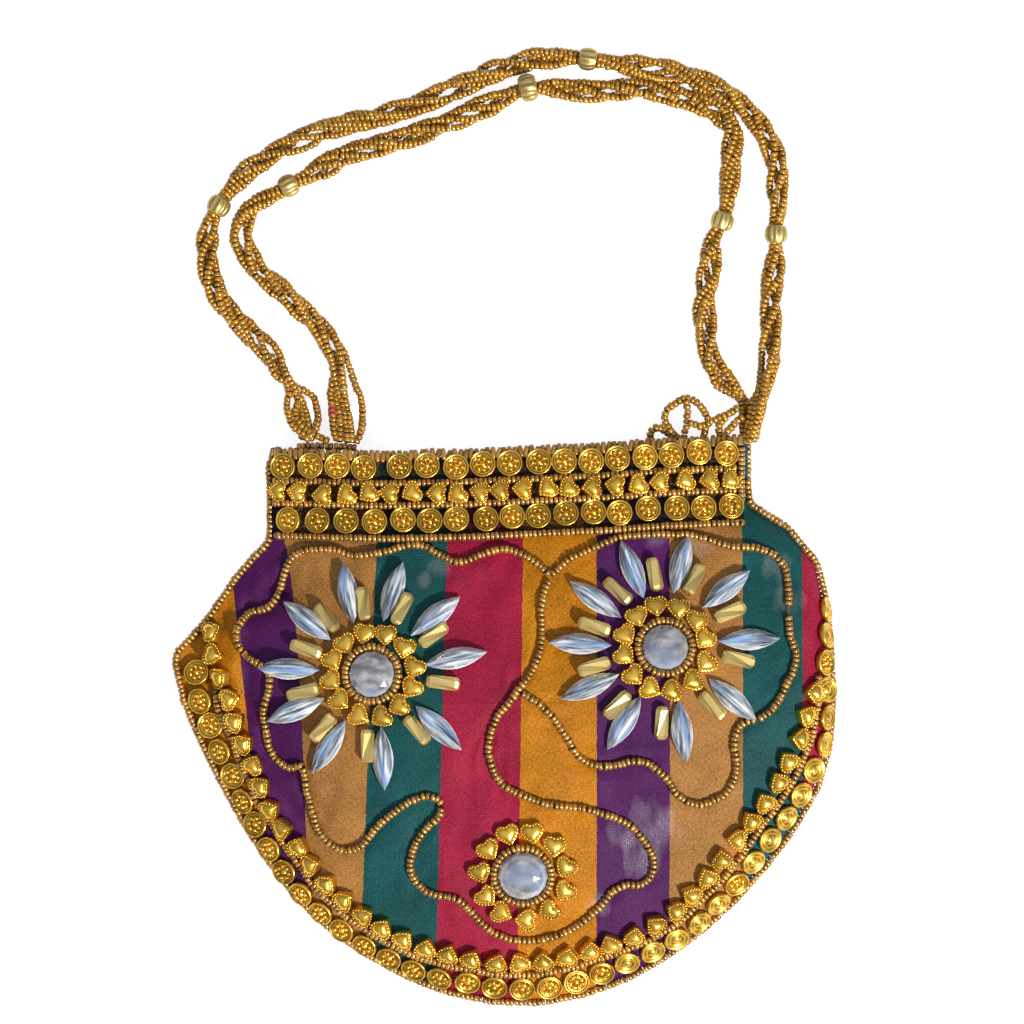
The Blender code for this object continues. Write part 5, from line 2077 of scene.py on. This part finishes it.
@dataclass(frozen=True)
class Flower:
    """A stone in rings of seeds and hearts, with crystals and tube beads on a large one.

    Attributes:
        name: Its name.
        spot: Where its middle is, in millimetres.
        stone: The stone's diameter.
        hearts: How many hearts ring it.
        heart_reach: How far out the hearts are.
        petals: The directions of its crystals, in degrees.
        leans: How far each crystal leans from pointing outwards, in degrees.
        tubes: The directions of its tube beads, in degrees.
        tube_reach: How far out the tube beads' middles are.
    """

    name: str
    spot: Point
    stone: float
    hearts: int
    heart_reach: float
    petals: tuple[float, ...] = ()
    leans: tuple[float, ...] = ()
    tubes: tuple[float, ...] = ()
    tube_reach: float = 21.2 * MM

    def place(
        self, ground: Ground, reach: float, degrees: float, half: Point, gap: float, lean: float = 0.0
    ) -> Matrix:
        """A seat round the flower's middle, its X pointing outwards.

        Args:
            ground: The surface.
            reach: How far out.
            degrees: In which direction.
            half: Half the base's length and width.
            gap: How far off the surface.
            lean: How far its X turns from pointing outwards, in degrees.

        Returns:
            The place.
        """
        out = Vector((math.cos(math.radians(degrees)), math.sin(math.radians(degrees)), 0))
        spot = Vector((self.spot[0] * MM, self.spot[1] * MM, 0)) + out * reach
        point = ground.drop(spot.x, spot.y)
        normal = ground.lie(spot.x, spot.y, max(half) * 0.8)
        away = Matrix.Rotation(math.radians(lean), 3, "Z") @ out
        return ground.seat(place_of(point, away, normal), *half, gap)

    def build(self, ground: Ground) -> None:
        """Builds the flower.

        Args:
            ground: The surface that it is sewn to.
        """
        centre = Cluster(f"{self.name}_crystal", STONE_FINISH, STONE_FOIL)
        half = self.stone / 2
        place = self.place(ground, 0, 0, (half, half), 0.5 * MM)
        centre.stamp(RoundStone(diameter=self.stone).shape(), place)
        centre.build(f"{self.name}_stone")
        self.seed_ring(place, half + 1.15 * MM)
        self.heart_ring(ground)
        if self.petals:
            self.crystals(ground)
            self.tube_ring(ground)

    def seed_ring(self, place: Matrix, reach: float) -> None:
        """Strings the seed beads round the stone.

        Args:
            place: The stone's place.
            reach: How far out they are.
        """
        ring = Cluster(f"{self.name}_seeds", SEED_FINISH)
        points = []
        for k in range(49):
            angle = 2 * math.pi * k / 48
            points.append(place @ Vector((reach * math.cos(angle), reach * math.sin(angle), 1.2 * MM)))
        strung(ring, Line(points), SeedBead().shape(), SEED_PITCH)
        ring.build(f"{self.name}_seed_ring")

    def heart_ring(self, ground: Ground) -> None:
        """Sets the hearts round the seed ring, their points turned from inwards towards the bag's foot.

        Args:
            ground: The surface.
        """
        ring = Cluster(f"{self.name}_hearts", GOLD_FINISH)
        shape = Heart(length=7.3 * MM, width=7.4 * MM).shape()
        for k in range(self.hearts):
            degrees = 360 * (k + 0.35) / self.hearts + ring.chance.gauss(0, 1.5)
            reach = self.heart_reach + ring.chance.gauss(0, 0.2) * MM
            place = self.place(ground, reach, degrees, (2.5 * MM, 2.5 * MM), 0.05 * MM)
            inward = math.radians(degrees + 180)
            down = 0.62 * math.remainder(math.radians(270) - inward, 2 * math.pi)
            turn = math.pi + down + ring.chance.gauss(0, 0.15)
            ring.stamp(shape, place @ Matrix.Rotation(turn, 4, "Z"))
        ring.build(f"{self.name}_heart_ring")

    def crystals(self, ground: Ground) -> None:
        """Sets the pointed crystals.

        Args:
            ground: The surface.
        """
        ring = Cluster(f"{self.name}_petals", PETAL_FINISH, PETAL_FOIL)
        shape = Navette().shape()
        for degrees, lean in zip(self.petals, self.leans):
            turned = degrees + lean / 2
            place = self.place(ground, 25.2 * MM, turned, (9.5 * MM, 3 * MM), 0.5 * MM, lean / 2)
            ring.stamp(shape, place)
        ring.build(*[f"{self.name}_petal_{k + 1}" for k in range(len(self.petals))])

    def tube_ring(self, ground: Ground) -> None:
        """Sets the tube beads between the crystals.

        Args:
            ground: The surface.
        """
        ring = Cluster(f"{self.name}_tubes", SATIN_FINISH)
        shape = TubeBead().shape()
        for degrees in self.tubes:
            place = self.place(ground, self.tube_reach, degrees, (5 * MM, 1.6 * MM), 0.05 * MM)
            roll = Matrix.Rotation(ring.chance.gauss(0, 0.05), 4, "Z")
            ring.stamp(shape, place @ roll)
        ring.build(f"{self.name}_tube_beads")


# ---- Couched scrolls


@dataclass(frozen=True)
class Scroll:
    """A couched line of seed beads.

    Attributes:
        node: The part's node that it stands for.
        route: Its route, in millimetres.
        bare: The stretches that are bare thread, each from and to in millimetres along it.
    """

    node: str
    route: tuple[Point, ...]
    bare: tuple[Point, ...] = ()

    def build(self, ground: Ground) -> None:
        """Builds the line.

        Args:
            ground: The surface that it is couched to.
        """
        plan = Line.smooth([Vector((x * MM, y * MM, 0)) for x, y in self.route])
        lifted = []
        for stop in np.linspace(0, plan.length, int(plan.length / (1.5 * MM))):
            flat = plan.at(stop)
            point = ground.drop(flat.x, flat.y)
            lifted.append(point + ground.lie(flat.x, flat.y, 1.5 * MM) * 1.05 * MM)
        line = Line(lifted)
        beads = Cluster(f"{self.node}_beads", SEED_FINISH, THREAD_FINISH)
        shape = SeedBead(diameter=2.5 * MM, length=1.36 * MM).shape()
        kept = [0.0, *[x * MM for pair in self.bare for x in pair], line.length]
        for start, end in zip(kept[::2], kept[1::2]):
            piece = Line([line.at(s) for s in np.linspace(start, end, max(3, int((end - start) / MM)))])
            strung(beads, piece, shape, 1.44 * MM, LOOSELY)
        thread_tube(beads, line, 0.4 * MM, 1)
        beads.build(self.node)


# ---- Straps


@dataclass(frozen=True)
class Strand:
    """One strand of a strap.

    Attributes:
        name: Its name.
        start: Its own first points, in millimetres, up to where it joins the bundle.
        end: Its own last points, in millimetres, from where it leaves the bundle.
        phase: Where in the bundle it lies, in turns.
        crimson: How far along it its one crimson bead is, in millimetres, if it has one.
    """

    name: str
    start: Route
    end: Route
    phase: float
    crimson: float = 0.0


@dataclass(frozen=True)
class Strap:
    """A bundle of twisted strands of seed beads.

    Attributes:
        node: The part's node that it stands for.
        route: The bundle's route, in millimetres.
        strands: Its strands.
        beads: The route points that carry fluted beads, with each bead's node and diameter.
        length: How long the bundle is along its points in the photo, which its strands wind about.
        half_width: How far from the bundle's middle its strands lie.
        half_height: How far above and below.
        turn: How far the bundle runs in one twist.
    """

    node: str
    route: Route
    strands: tuple[Strand, ...]
    beads: tuple[tuple[int, str, float], ...]
    length: float
    half_width: float = 2.5 * MM
    half_height: float = 1.6 * MM
    turn: float = 42 * MM

    def build(self) -> None:
        """Builds the strap's fluted beads and strands, and declares each strand."""
        middle = Line.smooth([Vector(p) * MM for p in self.route])
        pieces = []
        gathers = []
        for index, node, diameter in self.beads:
            stop = middle.nearest(Vector(self.route[index]) * MM)
            gathers.append(stop)
            pieces.append(self.fluted(middle, stop, node, diameter))
        for k, strand in enumerate(self.strands):
            self.strand(strand, middle, gathers, pieces if k == 0 else [])

    def fluted(self, middle: Line, stop: float, node: str, diameter: float) -> bpy.types.Object:
        """Builds one fluted bead.

        Args:
            middle: The bundle's middle.
            stop: How far along it the bead is.
            node: The part's node that it stands for.
            diameter: The bead's diameter.

        Returns:
            The piece.
        """
        bead = Cluster(f"{node}_fluted", SATIN_FINISH)
        spot = middle.at(stop)
        spot.z = max(spot.z, diameter / 2 + 0.1 * MM)
        turn = along_x(middle.way(stop))
        bead.stamp(FlutedBead(diameter=diameter).shape(), Matrix.Translation(spot) @ turn)
        return bead.build(node)

    def strand(self, strand: Strand, middle: Line, gathers: Sequence[float], pieces: list) -> None:
        """Builds one strand.

        Args:
            strand: The strand.
            middle: The bundle's middle.
            gathers: How far along the fluted beads are.
            pieces: The fluted beads that it carries.
        """
        chance = random.Random(strand.name)
        seed = chance.uniform(0, 90)
        route = [Vector(p) * MM for p in strand.start]
        ends = [Vector(p) * MM for p in strand.end]
        lead = 9 * MM
        stops = np.arange(middle.nearest(route[-1]) + lead, middle.nearest(ends[0]) - lead, 4 * MM)
        for stop in stops:
            way = middle.way(stop, 2 * MM)
            side = Vector((-way.y, way.x, 0)).normalized()
            near = min(abs(stop - g) for g in gathers)
            loose = 0.45 + 0.55 * smoothstep(near / (9 * MM) - 0.3)
            wander = noise.noise(Vector((stop / (22 * MM), seed, 0)))
            angle = 2 * math.pi * (stop / self.turn + strand.phase) + 1.1 * wander
            swing = 1 + 0.3 * noise.noise(Vector((stop / (30 * MM), seed, 5)))
            spot = middle.at(stop)
            spot += side * self.half_width * loose * swing * math.cos(angle)
            spot.z += self.half_height * loose * math.sin(angle)
            lowest = min((3.6 - near / MM * 0.25) * MM, 2.4 * MM) if near < 10 * MM else 0.0
            spot.z = max(spot.z, 1.4 * MM, lowest)
            route.append(spot)
        route += ends
        line = Line.smooth(route, 6)
        cluster = Cluster(strand.name, STRAP_FINISH, CRIMSON_FINISH)
        strung(cluster, line, STRAP_SEED.shape(), STRAP_PITCH, LOOSELY)
        if strand.crimson:
            for stop in (strand.crimson * MM, (strand.crimson + 1.5) * MM):
                turn = along_x(line.way(stop))
                dyed = SeedBead(diameter=2.6 * MM, length=1.5 * MM).shape()
                cluster.stamp(dyed, Matrix.Translation(line.at(stop)) @ turn, 1)
        obj = cluster.build(*([self.node] if pieces else []))
        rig.cord(
            obj, exit=line.points[0], length=self.length, diameter=STRAP_SEED.diameter, far_end="object",
            stiffness="limp", lay="loose",
            path=[list(p) for p in line.points[::3]] + [list(line.points[-1])],
            with_pieces=pieces,
        )


@dataclass(frozen=True)
class ClosingLoop:
    """The small loop of seed beads beside the straps' right end, with its strung ties.

    Attributes:
        route: The loop's route, in millimetres.
        ties: Short strung ties between the loop, the band and the straps, in millimetres.
        length: How long the loop is along its points in the photo.
    """

    route: Route
    ties: tuple[Route, ...]
    length: float

    def build(self) -> None:
        """Builds the loop and its ties."""
        bead = STRAP_SEED.shape()
        line = Line.smooth([Vector(p) * MM for p in self.route], 6)
        loop = Cluster("closing_loop_beads", STRAP_FINISH)
        strung(loop, line, bead, STRAP_PITCH, LOOSELY)
        obj = loop.build("closing_loop", "closing_strand")
        ties = Cluster("closing_ties", STRAP_FINISH)
        for tie in self.ties:
            way = Line.smooth([Vector(p) * MM for p in tie], 6)
            strung(ties, way, bead, STRAP_PITCH, LOOSELY)
        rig.cord(
            obj, exit=line.points[0], length=self.length, diameter=STRAP_SEED.diameter, far_end="object",
            stiffness="limp", lay="loose", path=[list(p) for p in line.points],
            with_pieces=[ties.build()],
        )


# ---- The studio


@dataclass(frozen=True)
class Studio:
    """A pale floor, soft light from all round and a low warm key from the lower right.

    Attributes:
        middle: Where the camera looks, in millimetres.
        width: How wide its view is at the bag.
        distance: How far off it is.
        sun: The key's strength.
        sky: The fill's strength.
    """

    middle: Point = (3.6, 62.4)
    width: float = 307.2 * MM
    distance: float = 3.0
    sun: float = 4.2
    sky: float = 0.55

    def camera(self) -> None:
        """Sets the camera, straight above."""
        data = bpy.data.cameras.new("Camera")
        data.sensor_width = 36
        data.lens = 36 * self.distance / self.width
        data.clip_end = 20
        eye = linked("Camera", data)
        eye.location = (self.middle[0] * MM, self.middle[1] * MM, self.distance + 12 * MM)
        bpy.context.scene.camera = eye

    def floor(self) -> None:
        """Lays the floor."""
        bm = bmesh.new()
        bmesh.ops.create_grid(bm, x_segments=1, y_segments=1, size=6)
        mesh = bpy.data.meshes.new("Floor")
        bm.to_mesh(mesh)
        bm.free()
        made = bpy.data.materials.new("Floor")
        made.use_nodes = True
        tree = Tree(made.node_tree)
        matte = tree.node("ShaderNodeBsdfDiffuse", {"Color": (0.9, 0.9, 0.9, 1)}).outputs[0]
        glow = tree.node("ShaderNodeEmission", {"Color": (1, 1, 1, 1), "Strength": 0.76}).outputs[0]
        seen = tree.node("ShaderNodeLightPath").outputs["Is Camera Ray"]
        lit = tree.node("ShaderNodeAddShader", {0: matte, 1: glow}).outputs[0]
        surface = tree.node("ShaderNodeMixShader", {0: seen, 1: matte, 2: lit}).outputs[0]
        tree.node("ShaderNodeOutputMaterial", {"Surface": surface})
        mesh.materials.append(made)
        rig.stage(linked("Floor", mesh))

    def light(self) -> None:
        """Sets the key and the sky."""
        data = bpy.data.lights.new("Key", "SUN")
        data.energy = self.sun
        data.angle = math.radians(3)
        data.color = (1.0, 0.965, 0.90)
        key = linked("Key", data)
        key.rotation_euler = Vector((0.55, -0.62, 0.9)).to_track_quat("Z", "Y").to_euler()
        world = bpy.data.worlds.new("Sky")
        bpy.context.scene.world = world
        world.use_nodes = True
        tree = Tree(world.node_tree)
        way = tree.node("ShaderNodeTexCoord").outputs["Generated"]
        split = tree.node("ShaderNodeSeparateXYZ", {0: way})
        patchy = tree.node("ShaderNodeTexNoise", {"Vector": way, "Scale": 2.6, "Detail": 2.0})
        height = tree.maths(
            "ADD", split.outputs[2], tree.maths("MULTIPLY_ADD", patchy.outputs["Fac"], 0.9, -0.45)
        )
        colour = tree.ramp(
            height,
            [
                (0.0, (0.30, 0.25, 0.20)), (0.35, (0.36, 0.38, 0.42)), (0.62, (0.78, 0.88, 1.0)),
                (1.0, (1.15, 1.2, 1.3)),
            ],
        )
        sky = tree.node("ShaderNodeBackground", {"Color": colour, "Strength": self.sky}).outputs[0]
        white = tree.node("ShaderNodeBackground", {"Color": (1, 1, 1, 1), "Strength": 1.0}).outputs[0]
        seen = tree.node("ShaderNodeLightPath").outputs["Is Camera Ray"]
        surface = tree.node("ShaderNodeMixShader", {0: seen, 1: sky, 2: white}).outputs[0]
        tree.node("ShaderNodeOutputWorld", {"Surface": surface})

    def build(self) -> None:
        """Sets up the studio."""
        bpy.context.scene.view_settings.view_transform = "Standard"
        self.floor()
        self.light()


# ---- Routes, in millimetres

UPPER_SCROLL = (
    (14.4, 43.4), (11.4, 46.4), (6.5, 49.5), (0.9, 51), (-6, 49.2), (-12.6, 47.1), (-18, 49.5),
    (-23.1, 52.2), (-28.5, 52), (-35.4, 50.1), (-42.9, 49.2), (-49, 51), (-56.1, 51),
    (-61.2, 49.5), (-64.5, 44.5), (-66.3, 37.8), (-69.4, 33.6), (-75, 32), (-78.4, 28),
    (-78.6, 22), (-75, 18.4), (-70.2, 15),
    (-68.6, 10.5), (-70.4, 5.2), (-70.4, 0), (-69.2, -6.6), (-66.4, -12), (-62.2, -14.2), (-59, -13.4),
    (-57.8, -17.5), (-56.6, -24.5), (-54, -32.4), (-50.4, -36.9), (-46.2, -39), (-41.4, -37.5),
    (-36, -31.5), (-28.8, -25.3), (-23.4, -22.6), (-19, -22.8), (-17.2, -24.8),
)
LOWER_SCROLL = (
    (-17, -25.8), (-18.6, -29.2), (-22.8, -33.3), (-26.1, -39), (-26.7, -44.4), (-24, -49.2), (-19.2, -52),
    (-13, -53), (-9, -56.6), (-5.4, -60.6), (0, -64.2), (6.9, -65.7), (15.3, -64.8), (22.8, -61.2),
    (30, -55.5), (33.6, -50.8), (37.6, -49), (42, -48.9), (45.3, -45.9), (45.9, -40.8), (42.6, -34.8),
    (36.6, -29.7), (25.8, -26.4), (13.5, -24.6), (6, -21.9), (-0.3, -17.7), (-3, -11.1), (-3.4, -6),
    (-1, 0.6), (3.6, 6.6), (9, 13.8), (12, 20.4), (12.4, 27.9), (12.4, 35.1), (14.4, 41.6),
)
RIGHT_SCROLL = (
    (15.2, 43.4), (17.4, 45.4), (21.6, 48.6), (30, 52.4), (37, 54.9), (43, 55.2), (49.8, 55.6), (57, 55.3),
    (62.1, 54), (69.3, 51.6), (75, 51.6), (79.8, 50.4), (83, 48.6),
    (85.2, 45.6), (86.1, 39.9), (86.4, 35.1), (86.2, 31.5), (86.7, 25.5), (88.3, 20.1), (87.9, 16.5),
    (86.7, 12.9), (83.7, 7.2), (80.4, 2.7), (77, 0.6),
)
INNER_SCROLL = (
    (76, 0.4), (72.6, -0.8), (70.4, -4), (70, -8), (71, -12.6), (69.8, -18), (66.6, -22.2), (60.9, -24.9),
    (56.4, -24.6), (52.5, -21.6), (49.5, -17.1), (45.6, -13.5), (40.8, -12), (34.5, -13), (28.2, -13.2),
    (23.6, -10.5), (19.2, -4), (15.4, 1.5), (11.6, 5), (8.4, 7.4), (6.4, 8.2),
)
STRAP_A_ROUTE = (
    (-57, 82.6, 10.4), (-57.6, 87.2, 8.8), (-59, 91.5, 6.2), (-63, 100.5, 3.6), (-71.4, 112.5, 2.6),
    (-82.5, 123.6, 2.6), (-87.6, 135, 2.6), (-87.9, 145.5, 2.6), (-84.6, 154.5, 2.6), (-76.5, 164.4, 2.6),
    (-67.5, 171, 2.6), (-58.5, 174.9, 2.6), (-48, 178.5, 2.6), (-33, 182.7, 2.6), (-18, 187.5, 2.6),
    (-5.5, 193.6, 2.6), (5, 197.4, 2.6), (15, 199, 2.6), (26.4, 198.6, 2.6), (42, 196.2, 2.6),
    (57, 193.5, 2.6), (70.5, 186.9, 2.6), (79.5, 177, 2.6), (83.4, 166.5, 2.6), (83.4, 157.2, 2.6),
    (83.1, 146.1, 2.6), (82.8, 137.7, 2.6), (81.9, 127.8, 2.7), (81.4, 118.2, 3.4), (80.8, 108.3, 4.8),
    (79.6, 100.5, 6.6), (78.2, 93.6, 8.4), (75.6, 84.5, 9.4),
)
STRAP_B_ROUTE = (
    (-44.4, 81.7, 12), (-44.4, 87, 10.2), (-44.4, 93, 7.4), (-46.5, 103.5, 3.8), (-52.5, 115.5, 2.6),
    (-63, 126, 2.6), (-73.5, 136.5, 2.6), (-78, 145.5, 2.6), (-75, 153, 2.6), (-69, 157.5, 2.6),
    (-63.6, 160.5, 2.6), (-54, 165.6, 2.6), (-43.5, 170.4, 2.6), (-30, 174.6, 2.6), (-15, 179.4, 2.6),
    (-3, 185.1, 2.6), (8.4, 190, 2.6), (18, 189.6, 2.6), (30, 189, 2.6), (45, 189.4, 2.6),
    (56, 186.6, 2.6), (66.3, 181.8, 2.6), (70.2, 176.7, 2.6), (69.3, 167.1, 2.6), (68.7, 157.2, 2.6),
    (66.9, 150, 2.6), (64.2, 143.4, 2.6), (62.4, 132.6, 2.6), (61.5, 123, 2.6), (62.4, 114, 2.6),
    (64.2, 107, 2.6), (68.8, 100.6, 2.6), (74.2, 94.6, 3), (75.2, 84.6, 5.6),
)

STRAP_A_STRANDS = (
    Strand("strap_a_strand_1", ((-55.8, 84.4, 9.6), (-59.6, 86.4, 8.8), (-62.4, 88.6, 8.0), (-63.8, 92, 6.6),
                                (-64.2, 95.4, 5.2), (-63.6, 98.8, 4.2)),
           ((79.8, 96.5, 7.4), (78.4, 91, 8.6), (76, 83.6, 9.2)), 0.0),
    Strand("strap_a_strand_2", ((-51.4, 83.6, 10), (-55, 85.4, 9.6), (-58.6, 87.6, 8.6), (-61, 90.2, 7.2),
                                (-61.6, 92.8, 6.2), (-60.8, 96.6, 4.6)),
           ((78.6, 96, 8.8), (77.2, 90.6, 9.8), (74.8, 83.2, 10)), 0.25),
    Strand("strap_a_strand_3", ((-58.8, 84.2, 9.8), (-56, 86.4, 9.2), (-54.7, 90.2, 7.4), (-55.2, 94, 5.4),
                                (-57.2, 98, 3.8)),
           ((77.4, 96.4, 7.6), (76, 91.2, 9), (74.4, 84.2, 9.6)), 0.5),
    Strand("strap_a_strand_4", ((-57, 84, 9.6), (-57.2, 87, 8.4), (-58, 91, 6.6), (-60, 96.5, 4.2)),
           ((78.6, 96.8, 6), (77.6, 90.8, 7.4), (76.2, 83.4, 8.2)), 0.75),
    Strand("strap_a_strand_5", ((-59.6, 84.2, 9), (-59, 87, 7.8), (-59.4, 92, 5.8), (-61, 97, 3.4)),
           ((76.6, 96.8, 6.4), (75.2, 91.6, 8.2), (73.8, 84.4, 9)), 0.13),
)
STRAP_B_STRANDS = (
    Strand("strap_b_strand_1", ((-49, 84, 10), (-50, 87, 8.8), (-50.3, 90.6, 7.2), (-50.6, 95, 5.2),
                                (-51, 99, 4)),
           ((75.8, 94, 5), (76.6, 90, 6.4), (76, 84, 7.6)), 0.1, crimson=8.6),
    Strand("strap_b_strand_2", ((-45.8, 83.2, 10.4), (-46, 86.2, 9.4), (-46.6, 90, 7.6), (-47.6, 95, 5.2),
                                (-48.8, 98.6, 4.2)),
           ((74.2, 94.4, 3.6), (75.2, 89.6, 5), (75, 84, 7)), 0.35),
    Strand("strap_b_strand_3", ((-44.6, 83.2, 10.5), (-44.7, 86.4, 9.6), (-45.2, 90.4, 7.8),
                                (-46.6, 96.5, 5)),
           ((72.8, 95, 2.8), (74, 90, 4), (74, 84.6, 6.4)), 0.6),
    Strand("strap_b_strand_4", ((-43.4, 83, 10.5), (-41.8, 86.4, 9.6), (-41.3, 91.6, 7.2), (-41.8, 96.6, 5.2),
                                (-43.3, 100.2, 4.2)),
           ((76.8, 94.2, 3.2), (77.6, 89.4, 4.4), (77, 84.2, 6.4)), 0.85),
    Strand("strap_b_strand_5", ((-48.2, 83.6, 10.2), (-48, 87.4, 8.8), (-48.4, 92, 6.6), (-49.4, 97, 4)),
           ((73, 93.2, 4.4), (72.8, 89.4, 5.8), (73.2, 84.6, 7.6)), 0.22),
)
CLOSING_ROUTE = (
    (53.7, 84.2, 9.8), (51.2, 86.8, 9.8), (49.5, 90.4, 9.4), (50.3, 93.3, 9.2), (52.6, 95, 8.8),
    (55.6, 96.6, 8.6), (58.3, 95.8, 8.6), (60.8, 93.3, 8.8), (62.2, 91, 9.2), (63.6, 89.6, 9.4),
    (66.2, 91, 9.4), (69, 92.1, 9.4), (71.6, 93.8, 9.2),
)
CLOSING_TIES = (
    ((55.6, 96.2, 9.4), (56.3, 93.8, 9), (56, 89.3, 9.4), (55.2, 84.2, 9.8)),
    ((56.6, 89.3, 10.2), (60, 88.2, 10.4), (63.1, 89.3, 10)),
    ((67.3, 84.8, 9.8), (69.6, 88.2, 9.6), (73, 91.2, 9.4)),
    ((66.2, 84.8, 9.8), (65.8, 88.4, 9.6), (68, 91.2, 9.4)),
    ((45.2, 83.6, 9.8), (45.3, 86.6, 9.8), (47.5, 87.8, 9.8), (49.8, 86.4, 9.9), (51.4, 84.2, 9.9)),
    ((61, 84.4, 9.8), (61.8, 88, 9.6)),
)
STRAP_BASE = ((-61.0, 81.8, 10.2), (-56.0, 82.2, 10.3), (-48.0, 82, 10.4), (-43.0, 81.6, 10.4))
LEFT_FLOWER = Flower(
    "flower_left", (-37.8, 13.8), 14 * MM, 12, 12.5 * MM,
    petals=(10, 47, 79, 110, 143, 178, 208.5, 242, 281, 326),
    leans=(1, -8, -5.5, -7, -3, -1.6, -7, -6, -8, -10),
    tubes=(33, 66, 97, 129, 160, 195, 228, 266, 309, 353), tube_reach=21.2 * MM,
)
RIGHT_FLOWER = Flower(
    "flower_right", (49.2, 21.6), 14 * MM, 12, 12.5 * MM,
    petals=(7, 47, 82, 115, 148, 179, 210.5, 244, 285.5, 327),
    leans=(-3, -7, -6, -5, -5, -3, -7, -6, -8, -8),
    tubes=(28, 66, 98.5, 130, 163.5, 195, 229.5, 267, 309.5, 351), tube_reach=21.9 * MM,
)
SMALL_FLOWER = Flower("flower_small", (6.9, -45.75), 15 * MM, 11, 13.0 * MM)


def write_size(start: tuple, end: tuple) -> None:
    """Writes the object's bounds before and after the looks were built.

    Args:
        start: The lowest and highest corner before.
        end: The same after.
    """
    kept = {"start": [list(map(float, p)) for p in start], "end": [list(map(float, p)) for p in end]}
    with open("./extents.json", "w") as out:
        json.dump(kept, out)


def main() -> None:
    """Builds the looks in order: camera, straps, cloth, band, rim, flowers, scrolls, studio."""
    logging.basicConfig(level=logging.INFO, format="%(message)s")
    studio = Studio()
    studio.camera()
    for strap in (
        Strap("strap_a", STRAP_A_ROUTE, STRAP_A_STRANDS, (
            (8, "strap_a_bead_1", 7 * MM), (18, "strap_a_bead_2", 7 * MM), (25, "strap_a_bead_3", 7 * MM),
        ), 360 * MM),
        Strap("strap_b", STRAP_B_ROUTE, STRAP_B_STRANDS, (
            (10, "strap_b_bead_1", 7 * MM), (25, "strap_b_bead_2", 7 * MM),
            (16, "strap_shared_bead", 8.6 * MM),
        ), 340 * MM),
    ):
        strap.build()
        LOG.info("strap: %s", strap.node)
    ClosingLoop(CLOSING_ROUTE, CLOSING_TIES, 37 * MM).build()
    front = PouchCloth(Side.FRONT)
    for cloth in (front, PouchCloth(Side.BACK)):
        cloth.build()
        LOG.info("cloth: %s", cloth.side.value)
    ground = front.ground()
    Band(Ground.of(frame["nodes"]["front_band"])).build()
    LOG.info("band")
    Rim(front, ground).build()
    LOG.info("rim")
    for flower in (LEFT_FLOWER, RIGHT_FLOWER, SMALL_FLOWER):
        flower.build(ground)
        LOG.info("flower: %s", flower.name)
    for scroll in (
        Scroll("scroll_upper", UPPER_SCROLL), Scroll("scroll_lower", LOWER_SCROLL),
        Scroll("scroll_right", RIGHT_SCROLL, bare=((88.5, 92),)), Scroll("scroll_inner", INNER_SCROLL),
    ):
        scroll.build(ground)
        LOG.info("scroll: %s", scroll.node)
    studio.build()
    write_size(START_BOUNDS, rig.bounds())


if __name__ == "__main__":
    main()
